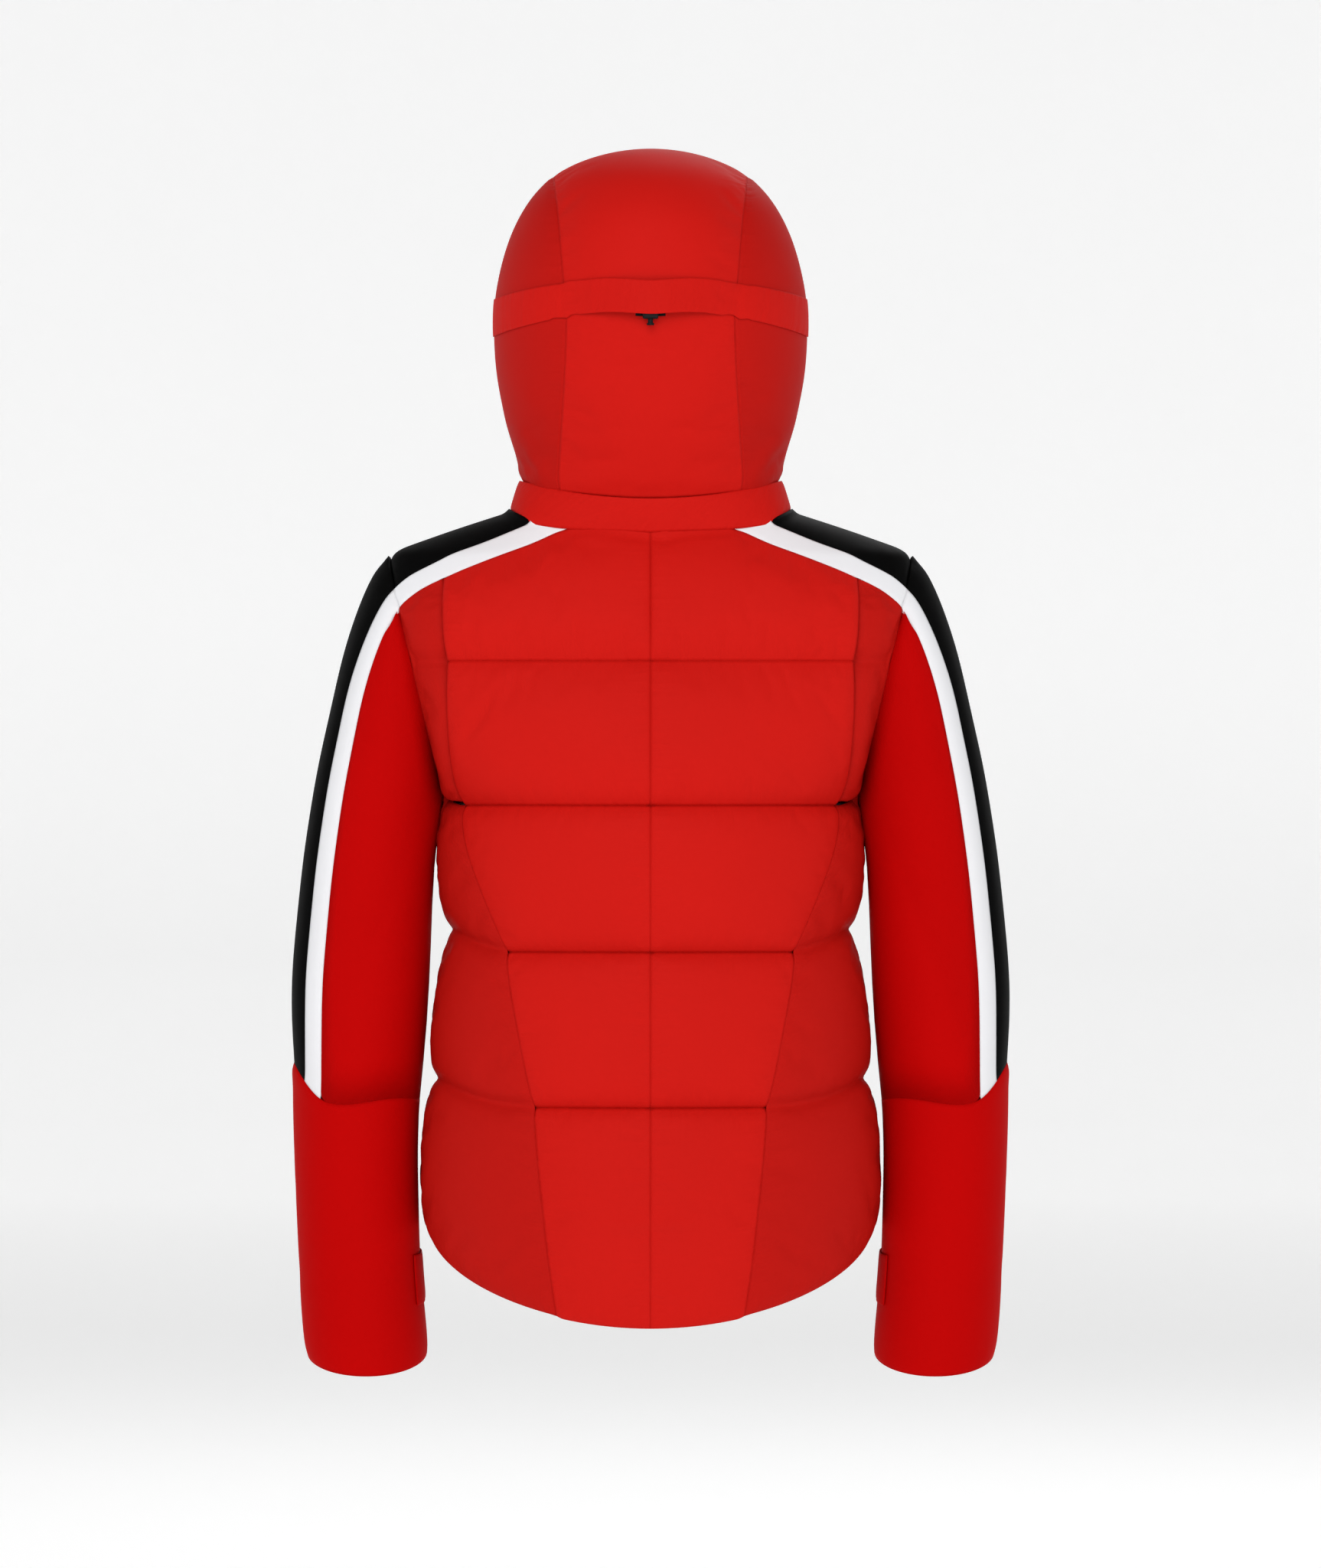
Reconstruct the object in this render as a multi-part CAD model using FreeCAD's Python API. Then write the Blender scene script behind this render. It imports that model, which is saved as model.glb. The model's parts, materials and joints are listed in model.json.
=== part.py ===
import FreeCAD, Part

import math
import os

"""Padded ski jacket with hood, built from separate sewn panels and zip hardware.

Frame, in mm: origin at the hanger loop inside the back neck, +Z up, +Y out of the
chest, +X towards the wearer's right arm. Every side piece is worked out for +X and
mirrored for the other side. Lines named *_LINE are lists of the few points that a
smooth curve needs.
"""

V = FreeCAD.Vector
SIDES = {"left": -1, "right": 1}

# Driving dimensions: torso
AXIS_Y = 66.0            # upright axis of the body, forward of the back neck
BACK_LENGTH = 662.0      # neck seam to hem at centre back
SIDE_HEM_Z = -583.0      # hem at the side seam
FRONT_HEM_DROP = 40.0    # how far the front hem dips below the side hem
PANEL_WALL = 6.0         # shell, filling and backing of a body panel
BODY_PUFF = 8.0          # crown of the back baffles above their seams
SIDE_PUFF = 5.0          # crown of the side and front panels
SEAM_GAP = 0.25          # inset of each panel from its seam line
YOKE_GAP = 0.9           # and what more is left under the white stripe
FRONT_YOKE_GAP = 2.4     # and the same at the front, where the edge turns sharply
LINING_REACH = 0.95      # share of the way to the armhole that the back lining covers
BAFFLE_Z = [-479.0, -350.0, -228.0, -107.0]
BAFFLE_SIDE_RISE = 8.0   # baffle line at the underarm above its centre height

# Driving dimensions: armhole and sleeve
SHOULDER = (222.0, -16.6)    # x, z of the armhole's top
UNDERARM = (174.0, -220.0)   # x, z of the armhole's bottom
ARMHOLE_HALF_DEPTH = 64.0
ARMHOLE_CLEARANCE = 0.9
SLEEVE_WALL = 6.0
SLEEVE_PUFF = 2.0
STRIPE_BLACK = 36.0      # half angle of the black stripe round the arm, degrees
STRIPE_WHITE = 57.0      # half angle out to the white stripe's far edge
ELBOW_T = 0.735          # share of the sleeve's length at the elbow seam
CUFF_TILT = 18.0         # the cuff is this much lower at the back
ARM_FORWARD = 20.0       # the cuff hangs this far ahead of the armhole

# Driving dimensions: neck, hood and collar
BAND_WALL = 4.0
BAND_BACK_TOP = 29.4     # top of the base band at centre back
BAND_SIDE_RISE = 17.3    # and how much higher it is at the side
NECK_CLEARANCE = 1.4     # collar above the neck seam
BAND_CLEARANCE = 1.8     # base band above it, so that the hood can tip
FRONT_NECK_DROP = 8.0
COLLAR_WALL = 4.0
COLLAR_INSET = 8.6       # the collar stands this far inside the band's outer face
COLLAR_TOP = 58.0
HOOD_WALL = 7.0
HOOD_SEAM_GAP = 1.0      # side panel below the centre strip's edge
FOOT_GAP = 1.2           # half the gap between base band and hood
HOOD_TOP = 320.6
HOOD_PUFF = 2.5
BRIM_Y = 168.0           # front edge of the hood's top
CROWN_Y = 60.0           # the hood is widest and highest about here
ADJUSTER_WALL = 2.0
CHANNEL = 3.6            # room for the elastic under the adjuster band
ELASTIC_Z = 180.5        # middle of the elastic at centre back
LOCK_WIDTH = 13.0
LOCK_BOTTOM = 175.5
LOCK_TOP = 185.0
LOCK_NOTCH = 1.5         # room left in the band round the lock
LOCK_DEPTH = 8.0
PLUNGER_R = 2.2
PLUNGER_CLEARANCE = 0.3
PLUNGER_TRAVEL = 3.0
PLUNGER_HEAD = 1.8
ELASTIC_WIDTH = 4.0
ELASTIC_WALL = 1.4

# Driving dimensions: zips
FRONT_TOP = (150.0, 45.0)    # y, z where the straight front line starts
FRONT_SLOPE = 0.0977         # forward per unit of drop, so the zip is straight
ZIP_TOP_Z = 50.0
ZIP_BOTTOM_Z = -612.0
ZIP_EDGE = 13.0              # half width that the zip takes between the fronts
TOOTH_PITCH = 6.0
SLIDER_LENGTH = 16.0
POCKET_TOP_Z = -330.0
POCKET_BOTTOM_Z = -482.0
POCKET_ROUND = 0.68          # sine of the pocket's place round the front
WELT_WIDTH = 26.0
LOOP_ROOT_Y = 0.0            # where the hanger loop is sewn to the collar


# Curves

def smooth(points):
    """Monotone cubic through (x, y) points; it runs straight on past both ends."""
    pts = sorted(points)
    xs = [p[0] for p in pts]
    ys = [p[1] for p in pts]
    step = [(ys[i + 1] - ys[i]) / (xs[i + 1] - xs[i]) for i in range(len(xs) - 1)]
    slope = [step[0]]
    for one, two in zip(step, step[1:]):
        slope.append(0.0 if one * two <= 0 else 2 * one * two / (one + two))
    slope.append(step[-1])

    def value(x):
        if x <= xs[0]:
            return ys[0] + slope[0] * (x - xs[0])
        if x >= xs[-1]:
            return ys[-1] + slope[-1] * (x - xs[-1])
        i = max(k for k in range(len(xs) - 1) if xs[k] <= x)
        h = xs[i + 1] - xs[i]
        t = (x - xs[i]) / h
        return (ys[i] * (1 + 2 * t) * (1 - t) ** 2 + ys[i + 1] * t * t * (3 - 2 * t)
                + h * slope[i] * t * (1 - t) ** 2 - h * slope[i + 1] * t * t * (1 - t))
    return value


def mix(a, b, t):
    return a + (b - a) * t


def clamp(value, low, high):
    return max(low, min(high, value))


# Torso surface: ellipses about the axis, wider than the armholes that cut them

LOWER_WIDTH_LINE = smooth([(-670, 190), (-583, 188), (-520, 186), (-456, 182),
                           (-400, 176), (-337, 169.5), (-271, 173), (-220, 174)])
SHOULDER_WIDTH_LINE = smooth([(-16.6, 222), (-9, 201), (3.8, 164.5), (18.6, 119)])
BACK_DEPTH_LINE = smooth([(-670, 142), (-479, 134), (-350, 130), (-228, 132),
                          (-107, 113), (-40, 92), (0, 74), (20, 68)])
NECK_SEAM_LINE = smooth([(0, 0.6), (66.6, 3.8), (99, 8.6), (119, 18.6)])
YOKE_LINE = smooth([(0, 0.6), (66.6, 3.8), (100.5, -9), (135, -21.8), (167, -34.6),
                    (193.9, -47.4), (211.6, -61)])
PRINCESS_LINE = smooth([(-662, 77), (-479, 97.5), (-350, 121), (-228, 158.5),
                        (-107, 170), (-44, 172.8)])
STRIPE_ANGLE_LINE = smooth([(-44.5, 62.3), (-34.6, 57), (-21.8, 50), (-9, 45), (8.6, 41.4)])

NECK_CORNER_X = 66.6     # where the white stripe's edge meets the neck seam
MID_Z = (SHOULDER[1] + UNDERARM[1]) / 2
HALF_Z = (SHOULDER[1] - UNDERARM[1]) / 2


def armhole_x(z):
    return mix(UNDERARM[0], SHOULDER[0], (z - UNDERARM[1]) / (SHOULDER[1] - UNDERARM[1]))


def back_depth(z):
    return BACK_DEPTH_LINE(z)


def front_y(z):
    return FRONT_TOP[0] + (FRONT_TOP[1] - z) * FRONT_SLOPE


def front_depth(z):
    return front_y(z) - AXIS_Y


def half_width(z):
    if z >= SHOULDER[1]:
        return SHOULDER_WIDTH_LINE(z)
    if z <= UNDERARM[1]:
        return LOWER_WIDTH_LINE(z)
    reach = 1 - ((z - MID_Z) / HALF_Z) ** 2
    opening = ARMHOLE_HALF_DEPTH ** 2 * reach / back_depth(z) ** 2
    return armhole_x(z) / math.sqrt(1 - opening)


def armhole_angle(z):
    if z <= UNDERARM[1] or z >= SHOULDER[1]:
        return math.pi / 2
    return math.asin(clamp(armhole_x(z) / half_width(z), -1, 1))


def torso_point(angle, z):
    """Angle 0 is centre back, a right angle the side and pi centre front."""
    depth = back_depth(z) if math.cos(angle) > 0 else front_depth(z)
    return V(half_width(z) * math.sin(angle), AXIS_Y - depth * math.cos(angle), z)


def angle_of(x, z):
    return math.asin(clamp(x / half_width(z), -1, 1))


def yoke_line(x):
    """Top edge of the red back: the neck seam, then the white stripe's edge."""
    return NECK_SEAM_LINE(x) if x < NECK_CORNER_X else YOKE_LINE(x)


def back_hem(angle):
    drop = BACK_LENGTH + SIDE_HEM_Z
    return SIDE_HEM_Z - drop * max(math.cos(angle), 0) ** 1.2


def front_hem(angle):
    return SIDE_HEM_Z - FRONT_HEM_DROP * max(-math.cos(angle), 0) ** 1.2


# Solids from two offset skins

def even_curve(points):
    """A cubic through the points at even parameters, which every row then shares."""
    count = len(points)
    curve = Part.BSplineCurve()
    curve.interpolate(Points=points, Parameters=[i / (count - 1) for i in range(count)])
    return curve


def skin(grid):
    across = [even_curve(list(column)) for column in zip(*grid)]
    rows = [even_curve(list(poles)) for poles in zip(*[c.getPoles() for c in across])]
    u = across[0]
    v = rows[0]
    surface = Part.BSplineSurface()
    surface.buildFromPolesMultsKnots([row.getPoles() for row in rows], u.getMultiplicities(),
                                     v.getMultiplicities(), u.getKnots(), v.getKnots(),
                                     False, False, u.Degree, v.Degree)
    return surface


def closed_solid(outer, inner):
    faces = [outer.toShape(), inner.toShape()]
    for side in ("uIso", "vIso"):
        for end in (0, 1):
            pair = []
            for surface in (outer, inner):
                u0, u1, v0, v1 = surface.bounds()
                limits = (u0, u1) if side == "uIso" else (v0, v1)
                pair.append(getattr(surface, side)(limits[end]).toShape())
            faces.append(Part.makeRuledSurface(pair[0], pair[1]))
    shell = Part.makeShell(faces)
    shell.sewShape()
    solid = Part.makeSolid(shell)
    if solid.Volume < 0:
        solid.reverse()
    return solid


def padded(place, centre, out, back, size=(9, 9), steer=None):
    """A pad along place(a, b), from back(a, b) to out(a, b) measured outwards from it."""
    step = 0.004
    rows, cols = size

    def offset(a, b, far):
        here = place(a, b)
        across = place(a + step, b) - place(a - step, b)
        along = place(a, b + step) - place(a, b - step)
        normal = across.cross(along).normalize()
        if normal.dot(here - centre(a, b)) < 0:
            normal = normal.negative()
        if steer:
            normal = steer(a, b, here, normal)
        return here + normal * far(a, b)

    def grid(far):
        return [[offset(i / (rows - 1), j / (cols - 1), far) for j in range(cols)]
                for i in range(rows)]
    return closed_solid(skin(grid(out)), skin(grid(back)))


def into_plane(normal, plane, share):
    """The normal turned by a share towards lying in a plane."""
    return (normal - plane * (normal.dot(plane) * share)).normalize()


def crown(height, sharpness=2.5):
    """Height of a filled panel over its seams: none at the edges, most in the middle."""
    def out(a, b):
        return height * (1 - abs(2 * a - 1) ** sharpness) * (1 - abs(2 * b - 1) ** sharpness)
    return out


def level(height):
    return lambda a, b: height


def inset(place, width, height):
    """The same patch drawn in from its four seams by the seam gap."""
    ga = SEAM_GAP / width
    gb = SEAM_GAP / height
    return lambda a, b: place(mix(ga, 1 - ga, a), mix(gb, 1 - gb, b))


def mirrored(place, side):
    def point(a, b):
        p = place(a, b)
        return V(side * p.x, p.y, p.z)
    return point


def torso_centre(a, b):
    return V(0, AXIS_Y, -150)


def armhole_normal():
    rise = SHOULDER[1] - UNDERARM[1]
    run = SHOULDER[0] - UNDERARM[0]
    length = math.hypot(rise, run)
    return V(rise / length, 0, -run / length)


def torso_steer(a, b, point, normal):
    """Keeps a panel's wall inside the armhole plane where it ends there."""
    side = -1 if point.x < 0 else 1
    plane = armhole_normal()
    away = plane.dot(V(abs(point.x), 0, point.z) - V(SHOULDER[0], 0, SHOULDER[1]))
    above = clamp((point.z - UNDERARM[1]) / 12, 0, 1)
    share = clamp(1 + away / 18, 0, 1) * above
    return into_plane(normal, V(side * plane.x, 0, plane.z), share)


def save(shape, name):
    shape.exportStep("parts/" + name + ".step")


# Torso panels

def solve_top(angle_at, line):
    """Height at which a vertical line round the body meets the top edge."""
    low = -120.0
    high = 18.0
    for _ in range(40):
        z = (low + high) / 2
        if z > line(half_width(z) * math.sin(angle_at(z))):
            high = z
        else:
            low = z
    return low


def back_centre_place(row):
    heights = BAFFLE_Z

    def place(a, b):
        def seam_angle(z):
            return angle_of(PRINCESS_LINE(min(z, -44)), z)
        low = back_hem(a * seam_angle(-650)) if row == 0 else heights[row - 1]
        if row == len(heights):
            high = solve_top(lambda z: a * seam_angle(z), yoke_line) - YOKE_GAP
        else:
            high = heights[row]
        z = mix(low, high, b)
        return torso_point(a * seam_angle(z), z)
    return place


def underarm_line(a):
    return BAFFLE_Z[2] + BAFFLE_SIDE_RISE * clamp(a, 0, 1) ** 1.3


def back_side_upper(a, b):
    def angle_at(z):
        return mix(angle_of(PRINCESS_LINE(min(z, -44)), z), armhole_angle(z), a)
    top = solve_top(angle_at, yoke_line) - YOKE_GAP
    z = mix(underarm_line(a), top, b * abs(b))
    return torso_point(angle_at(z), z)


def back_side_lower(a, b):
    def angle_at(z):
        return mix(angle_of(PRINCESS_LINE(z), z), math.pi / 2, a)
    z = mix(back_hem(angle_at(SIDE_HEM_Z)), underarm_line(a), b)
    return torso_point(angle_at(z), z)


def front_upper(a, b):
    def angle_at(z):
        return math.pi - mix(angle_of(ZIP_EDGE, z), armhole_angle(z), a)

    def line(x):
        return yoke_line(x) - neck_dip(x)
    top = solve_top(angle_at, line) - FRONT_YOKE_GAP
    z = mix(UNDERARM[1], top, b * abs(b))
    return torso_point(angle_at(z), z)


def front_lower(a, b):
    def angle_at(z):
        return math.pi - mix(angle_of(ZIP_EDGE, z), math.pi / 2, a)
    z = mix(front_hem(angle_at(SIDE_HEM_Z)), UNDERARM[1], b)
    return torso_point(angle_at(z), z)


def neck_dip(x):
    """How much lower the neck seam runs at the front than at the back."""
    return FRONT_NECK_DROP * (1 - min(x, NECK_CORNER_X) / NECK_CORNER_X) ** 2


def neck_angle(c):
    """Angle on the neck ring, from the black stripe's edge (1) to the ridge (0)."""
    start = math.radians(STRIPE_ANGLE_LINE(8.6))
    return mix(math.pi / 2, start, c)


def shoulder_black(a, b):
    """From the back edge over the shoulder's ridge to the front edge; b runs to the arm."""
    c = abs(2 * a - 1)
    share = c * c
    z_edge = mix(8.6, -44.5, b)
    z = mix(mix(18.6, SHOULDER[1], b), z_edge, share)
    edge = math.radians(STRIPE_ANGLE_LINE(z_edge))
    z_arm = mix(SHOULDER[1], -44.5, share)
    arm_edge = armhole_angle(-44.5)
    arm_share = (math.pi / 2 - armhole_angle(z_arm)) / (math.pi / 2 - arm_edge)
    neck_share = (math.pi / 2 - neck_angle(c)) / (math.pi / 2 - neck_angle(1))
    angle = math.pi / 2 - (math.pi / 2 - edge) * mix(neck_share, arm_share, clamp(b, 0, 1))
    return torso_point(angle if a < 0.5 else math.pi - angle, z)


def shoulder_white(front):
    def place(a, b):
        z_black = mix(8.6, -44.5, b)
        x_red = mix(NECK_CORNER_X, 211.6, b)
        z_red = YOKE_LINE(x_red)
        black = math.radians(STRIPE_ANGLE_LINE(z_black))
        red = angle_of(x_red, z_red)
        z = mix(z_red, z_black, a)
        angle = mix(red, black, a)
        return torso_point(math.pi - angle if front else angle, z)
    return place


def make_torso():
    for name, side in SIDES.items():
        for row in range(len(BAFFLE_Z) + 1):
            place = mirrored(inset(back_centre_place(row), 120, 120), side)
            save(padded(place, torso_centre, crown(BODY_PUFF), level(-PANEL_WALL),
                        (9, 9), torso_steer), "back_baffle_%d_%s" % (row + 1, name))
        pieces = {
            "back_side_upper": (back_side_upper, 40, 160, crown(SIDE_PUFF)),
            "back_side_lower": (back_side_lower, 100, 370, crown(SIDE_PUFF, 4)),
            "front_upper": (front_upper, 190, 200, crown(SIDE_PUFF, 4)),
            "front_lower": (front_lower, 220, 390, crown(SIDE_PUFF, 4)),
            "shoulder_black": (shoulder_black, 120, 110, level(0.5)),
            "shoulder_white_back": (shoulder_white(False), 30, 150, level(0.5)),
            "shoulder_white_front": (shoulder_white(True), 30, 150, level(0.5)),
        }
        for piece, (place, width, height, out) in pieces.items():
            place = mirrored(inset(place, width, height), side)
            save(padded(place, torso_centre, out, level(-PANEL_WALL), (13, 13), torso_steer),
                 piece + "_" + name)


def lining_lower(a, b):
    angle = mix(-math.pi + 0.1, math.pi - 0.1, a)
    hem = back_hem(angle) if math.cos(angle) > 0 else front_hem(angle)
    return torso_point(angle, mix(hem + 14, UNDERARM[1] - 6, b))


def lining_upper(a, b):
    c = 2 * a - 1
    top = solve_top(lambda z: abs(c) * armhole_angle(z) * LINING_REACH, yoke_line) - 4
    z = mix(UNDERARM[1] + 2, top, b)
    return torso_point(c * armhole_angle(z) * LINING_REACH, z)


def make_lining():
    lower = (level(-PANEL_WALL - 0.5), level(-PANEL_WALL - 1.5))
    upper = (level(-PANEL_WALL - 0.9), level(-PANEL_WALL - 1.9))
    save(padded(lining_lower, torso_centre, lower[0], lower[1], (33, 9)), "lining_lower")
    save(padded(lining_upper, torso_centre, upper[0], upper[1], (25, 11), torso_steer),
         "lining_upper")


# Sleeves: ellipses between an outer and an inner line, the first one on the armhole

OUTER_X = smooth([(0, 222), (0.06, 238.7), (0.14, 255), (0.25, 268.8), (0.38, 282),
                  (0.52, 294.4), (0.66, 301), (0.8, 299.5), (0.9, 296), (1, 291)])
OUTER_Z = smooth([(0, -16.6), (0.06, -47.4), (0.14, -92), (0.25, -150), (0.38, -213.8),
                  (0.52, -303), (0.66, -395), (0.8, -500), (0.9, -590), (1, -690)])
INNER_X = smooth([(0, 174), (0.06, 178), (0.14, 182), (0.25, 184), (0.38, 185),
                  (0.52, 187.5), (0.66, 191), (0.8, 196.5), (0.9, 195), (1, 187.5)])
INNER_Z = smooth([(0, -220), (0.06, -228), (0.14, -244), (0.25, -268), (0.38, -305),
                  (0.52, -365), (0.66, -431), (0.8, -520), (0.9, -600), (1, -690)])
SLEEVE_DEPTH = smooth([(0, ARMHOLE_HALF_DEPTH), (0.38, 62), (0.66, 60), (1, 54)])


def sleeve_centre(t):
    y = AXIS_Y + ARM_FORWARD * max(t, 0) ** 2
    return V((OUTER_X(t) + INNER_X(t)) / 2, y, (OUTER_Z(t) + INNER_Z(t)) / 2)


def sleeve_point(t, angle):
    """Angle 0 is the outside of the arm, a right angle its back and pi the inside."""
    centre = sleeve_centre(t)
    out = V(OUTER_X(t), centre.y, OUTER_Z(t)) - centre
    depth = SLEEVE_DEPTH(t)
    z = centre.z + out.z * math.cos(angle)
    if math.sin(angle) < 0:
        share = clamp(t / 0.3, 0, 1)
        depth *= mix(front_depth(z) / back_depth(z), 1, share)
    tilt = CUFF_TILT * clamp((t - 0.8) / 0.2, 0, 1) ** 2
    normal = armhole_normal()
    away = ARMHOLE_CLEARANCE * clamp(1 - t / 0.1, 0, 1)
    return V(centre.x + out.x * math.cos(angle) + away * normal.x,
             centre.y - depth * math.sin(angle),
             z - tilt * math.sin(angle) + away * normal.z)


def section_normal(t):
    """Normal of the sleeve's cross-section at t."""
    out = V(OUTER_X(t) - INNER_X(t), 0, OUTER_Z(t) - INNER_Z(t))
    return out.cross(V(0, 1, 0)).normalize()


def sleeve_place(angle_from, angle_to, t_from, t_to):
    def place(a, b):
        t = mix(t_from, t_to, b)
        near = clamp(1 - t / 0.2, 0, 1)
        lean = math.radians(8) * near
        low = math.radians(angle_from)
        high = math.radians(angle_to)
        if abs(angle_from) == STRIPE_BLACK:
            low += math.copysign(lean, low)
        if abs(angle_to) == STRIPE_BLACK:
            high += math.copysign(lean, high)
        return sleeve_point(t, mix(low, high, a))
    return place


def make_sleeves():
    black = STRIPE_BLACK
    white = STRIPE_WHITE
    pieces = {
        "sleeve_black": (-black, black, 0, ELBOW_T, (9, 15)),
        "sleeve_white_back": (black, white, 0, ELBOW_T, (5, 15)),
        "sleeve_white_front": (-white, -black, 0, ELBOW_T, (5, 15)),
        "sleeve_upper": (white, 360 - white, 0, ELBOW_T, (25, 15)),
        "sleeve_forearm": (-179, 179, ELBOW_T, 1, (33, 9)),
    }
    for name, side in SIDES.items():
        for piece, (low, high, start, end, size) in pieces.items():
            place = sleeve_place(low, high, start, end)
            width = math.radians(high - low) * 58
            place = mirrored(inset(place, width, 480 * (end - start)), side)

            def centre(a, b, start=start, end=end, side=side):
                p = sleeve_centre(mix(start, end, b))
                return V(side * p.x, p.y, p.z)

            def steer(a, b, point, normal, start=start, end=end, side=side):
                plane = section_normal(mix(start, end, b))
                return into_plane(normal, V(side * plane.x, 0, plane.z), 1)
            save(padded(place, centre, crown(SLEEVE_PUFF, 12), level(-SLEEVE_WALL), size,
                        steer), piece + "_" + name)

        def tab(a, b):
            return sleeve_point(mix(0.905, 0.95, b), math.radians(mix(150, 262, a)))

        def tab_centre(a, b, side=side):
            p = sleeve_centre(0.93)
            return V(side * p.x, p.y, p.z)
        out = level(SLEEVE_PUFF + 3.0)
        save(padded(mirrored(tab, side), tab_centre, out, level(SLEEVE_PUFF + 0.6), (9, 5)),
             "cuff_tab_" + name)


# Neck: the hood's base band outside and the stand-up collar inside it

BAND_REACH = math.radians(128)
COLLAR_REACH = math.radians(172)
NECK_HALF_WIDTH = 119.0
BAND_TOP_HALF_WIDTH = 111.4
BAND_TOP_DEPTH = 82.0
BAND_PROUD = 4.0


def neck_ring(angle):
    """Height of the neck seam at an angle round the neck."""
    x = NECK_HALF_WIDTH * abs(math.sin(angle))
    return NECK_SEAM_LINE(x) - (neck_dip(x) if math.cos(angle) < 0 else 0)


def band_top(angle):
    rise = math.sin(angle) ** 2 if math.cos(angle) > 0 else 1
    return BAND_BACK_TOP + BAND_SIDE_RISE * rise


def band_point(angle, b, z):
    """b is 0 on the neck seam and 1 at the band's top; the band stands proud of the seam."""
    low_z = neck_ring(angle)
    x = NECK_HALF_WIDTH * math.sin(angle)
    turn = math.sqrt(max(1 - (x / half_width(low_z)) ** 2, 0))
    if math.cos(angle) > 0:
        low_y = AXIS_Y - (back_depth(low_z) + BAND_PROUD) * turn
        high_y = AXIS_Y - BAND_TOP_DEPTH * math.cos(angle)
    else:
        low_y = AXIS_Y + (front_depth(low_z) + BAND_PROUD) * turn
        high_y = AXIS_Y - (front_depth(z) + BAND_PROUD) * math.cos(angle)
    return V(mix(x, BAND_TOP_HALF_WIDTH * math.sin(angle), b), mix(low_y, high_y, b), z)


def band_place(a, b):
    angle = mix(-BAND_REACH, BAND_REACH, a)
    z = mix(neck_ring(angle) + BAND_CLEARANCE, band_top(angle) - FOOT_GAP, b)
    return band_point(angle, b, z)


def collar_place(a, b):
    angle = mix(-COLLAR_REACH, COLLAR_REACH, a)
    low = neck_ring(angle) + NECK_CLEARANCE
    z = mix(low, COLLAR_TOP, b)
    return band_point(angle, 1 - (1 - b) ** 2, z)


def neck_centre(a, b):
    return V(0, AXIS_Y, 30)


def make_neck():
    save(padded(band_place, neck_centre, level(0), level(-BAND_WALL), (33, 5)),
         "hood_base_band")
    save(padded(collar_place, neck_centre, level(-COLLAR_INSET),
                level(-COLLAR_INSET - COLLAR_WALL), (41, 9)), "collar")


# Hood: a centre strip up the back and over the top, and two side panels

HOOD_WIDTH_LINE = smooth([(29, 113), (47, 111.4), (67.8, 111.4), (93, 117.8), (119, 122.9),
                          (144, 126.7), (174, 128), (196, 127.4), (221, 122.9),
                          (247, 115.8), (272.6, 103.7), (285.4, 96), (302, 82)])
HOOD_BACK_LINE = smooth([(29, -15.5), (60, -26), (100, -46), (150, -63), (190, -68),
                         (225, -63), (260, -48), (285, -28), (302, -8)])
HOOD_SEAM_LINE = smooth([(29, 79), (184, 70.4), (210, 73), (260, 77), (302, 81.5)])
HOOD_MIDDLE_Y = smooth([(0, -15.5), (0.2, -52), (0.38, -68), (0.52, -60), (0.66, -22),
                        (0.8, 48), (0.9, 110), (1, BRIM_Y)])
HOOD_MIDDLE_Z = smooth([(0, 29.4), (0.2, 115), (0.38, 198), (0.52, 252), (0.66, 300),
                        (0.8, HOOD_TOP), (0.9, 317), (1, 303)])
SEAM_TURN = 0.72         # share of the strip's length where the seam turns forward
SEAM_TOP_Z = 301.5
BRIM_DROP = 16.0


def hood_side_x(y, z):
    """Half width of the hood at a height and a distance forward."""
    width = HOOD_WIDTH_LINE(z)
    if y < CROWN_Y:
        back = HOOD_BACK_LINE(z)
        return width * math.sqrt(max(1 - ((CROWN_Y - y) / (CROWN_Y - back)) ** 2, 0))
    return width - 16 * ((y - CROWN_Y) / (BRIM_Y - CROWN_Y)) ** 2


def seam_point(z):
    """The seam between strip and side panel on the back of the hood."""
    x = HOOD_SEAM_LINE(z)
    width = HOOD_WIDTH_LINE(z)
    reach = math.sqrt(max(1 - (x / width) ** 2, 0))
    return V(x, CROWN_Y - (CROWN_Y - HOOD_BACK_LINE(z)) * reach, z)


def hood_foot(y):
    """Height of the base band's top edge at a distance forward."""
    turn = clamp((AXIS_Y - y) / BAND_TOP_DEPTH, 0, 1)
    return BAND_BACK_TOP + BAND_SIDE_RISE * (1 - turn * turn)


SEAM_FOOT_Z = hood_foot(seam_point(38).y) + FOOT_GAP


def seam_along(s):
    """The same seam by share of its length: up the back, then forward to the brim."""
    if s < SEAM_TURN:
        return seam_point(mix(SEAM_FOOT_Z, SEAM_TOP_Z, s / SEAM_TURN))
    t = (s - SEAM_TURN) / (1 - SEAM_TURN)
    start = seam_point(SEAM_TOP_Z)
    y = mix(start.y, BRIM_Y - 2, t)
    z = SEAM_TOP_Z - BRIM_DROP * t * t
    return V(mix(start.x, hood_side_x(y, z), t), y, z)


def hood_strip(a, b):
    c = 2 * a - 1
    edge = seam_along(b)
    middle = V(0, HOOD_MIDDLE_Y(b), HOOD_MIDDLE_Z(b))
    share = c * c
    return V(c * edge.x, mix(middle.y, edge.y, share), mix(middle.z, edge.z, share))


def hood_front_edge(b):
    """Face opening: from the neck forward and up to the brim."""
    y = mix(132, BRIM_Y - 2, math.sin(b * math.pi / 2))
    return y, mix(hood_foot(y) + FOOT_GAP, SEAM_TOP_Z - BRIM_DROP, b)


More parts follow.
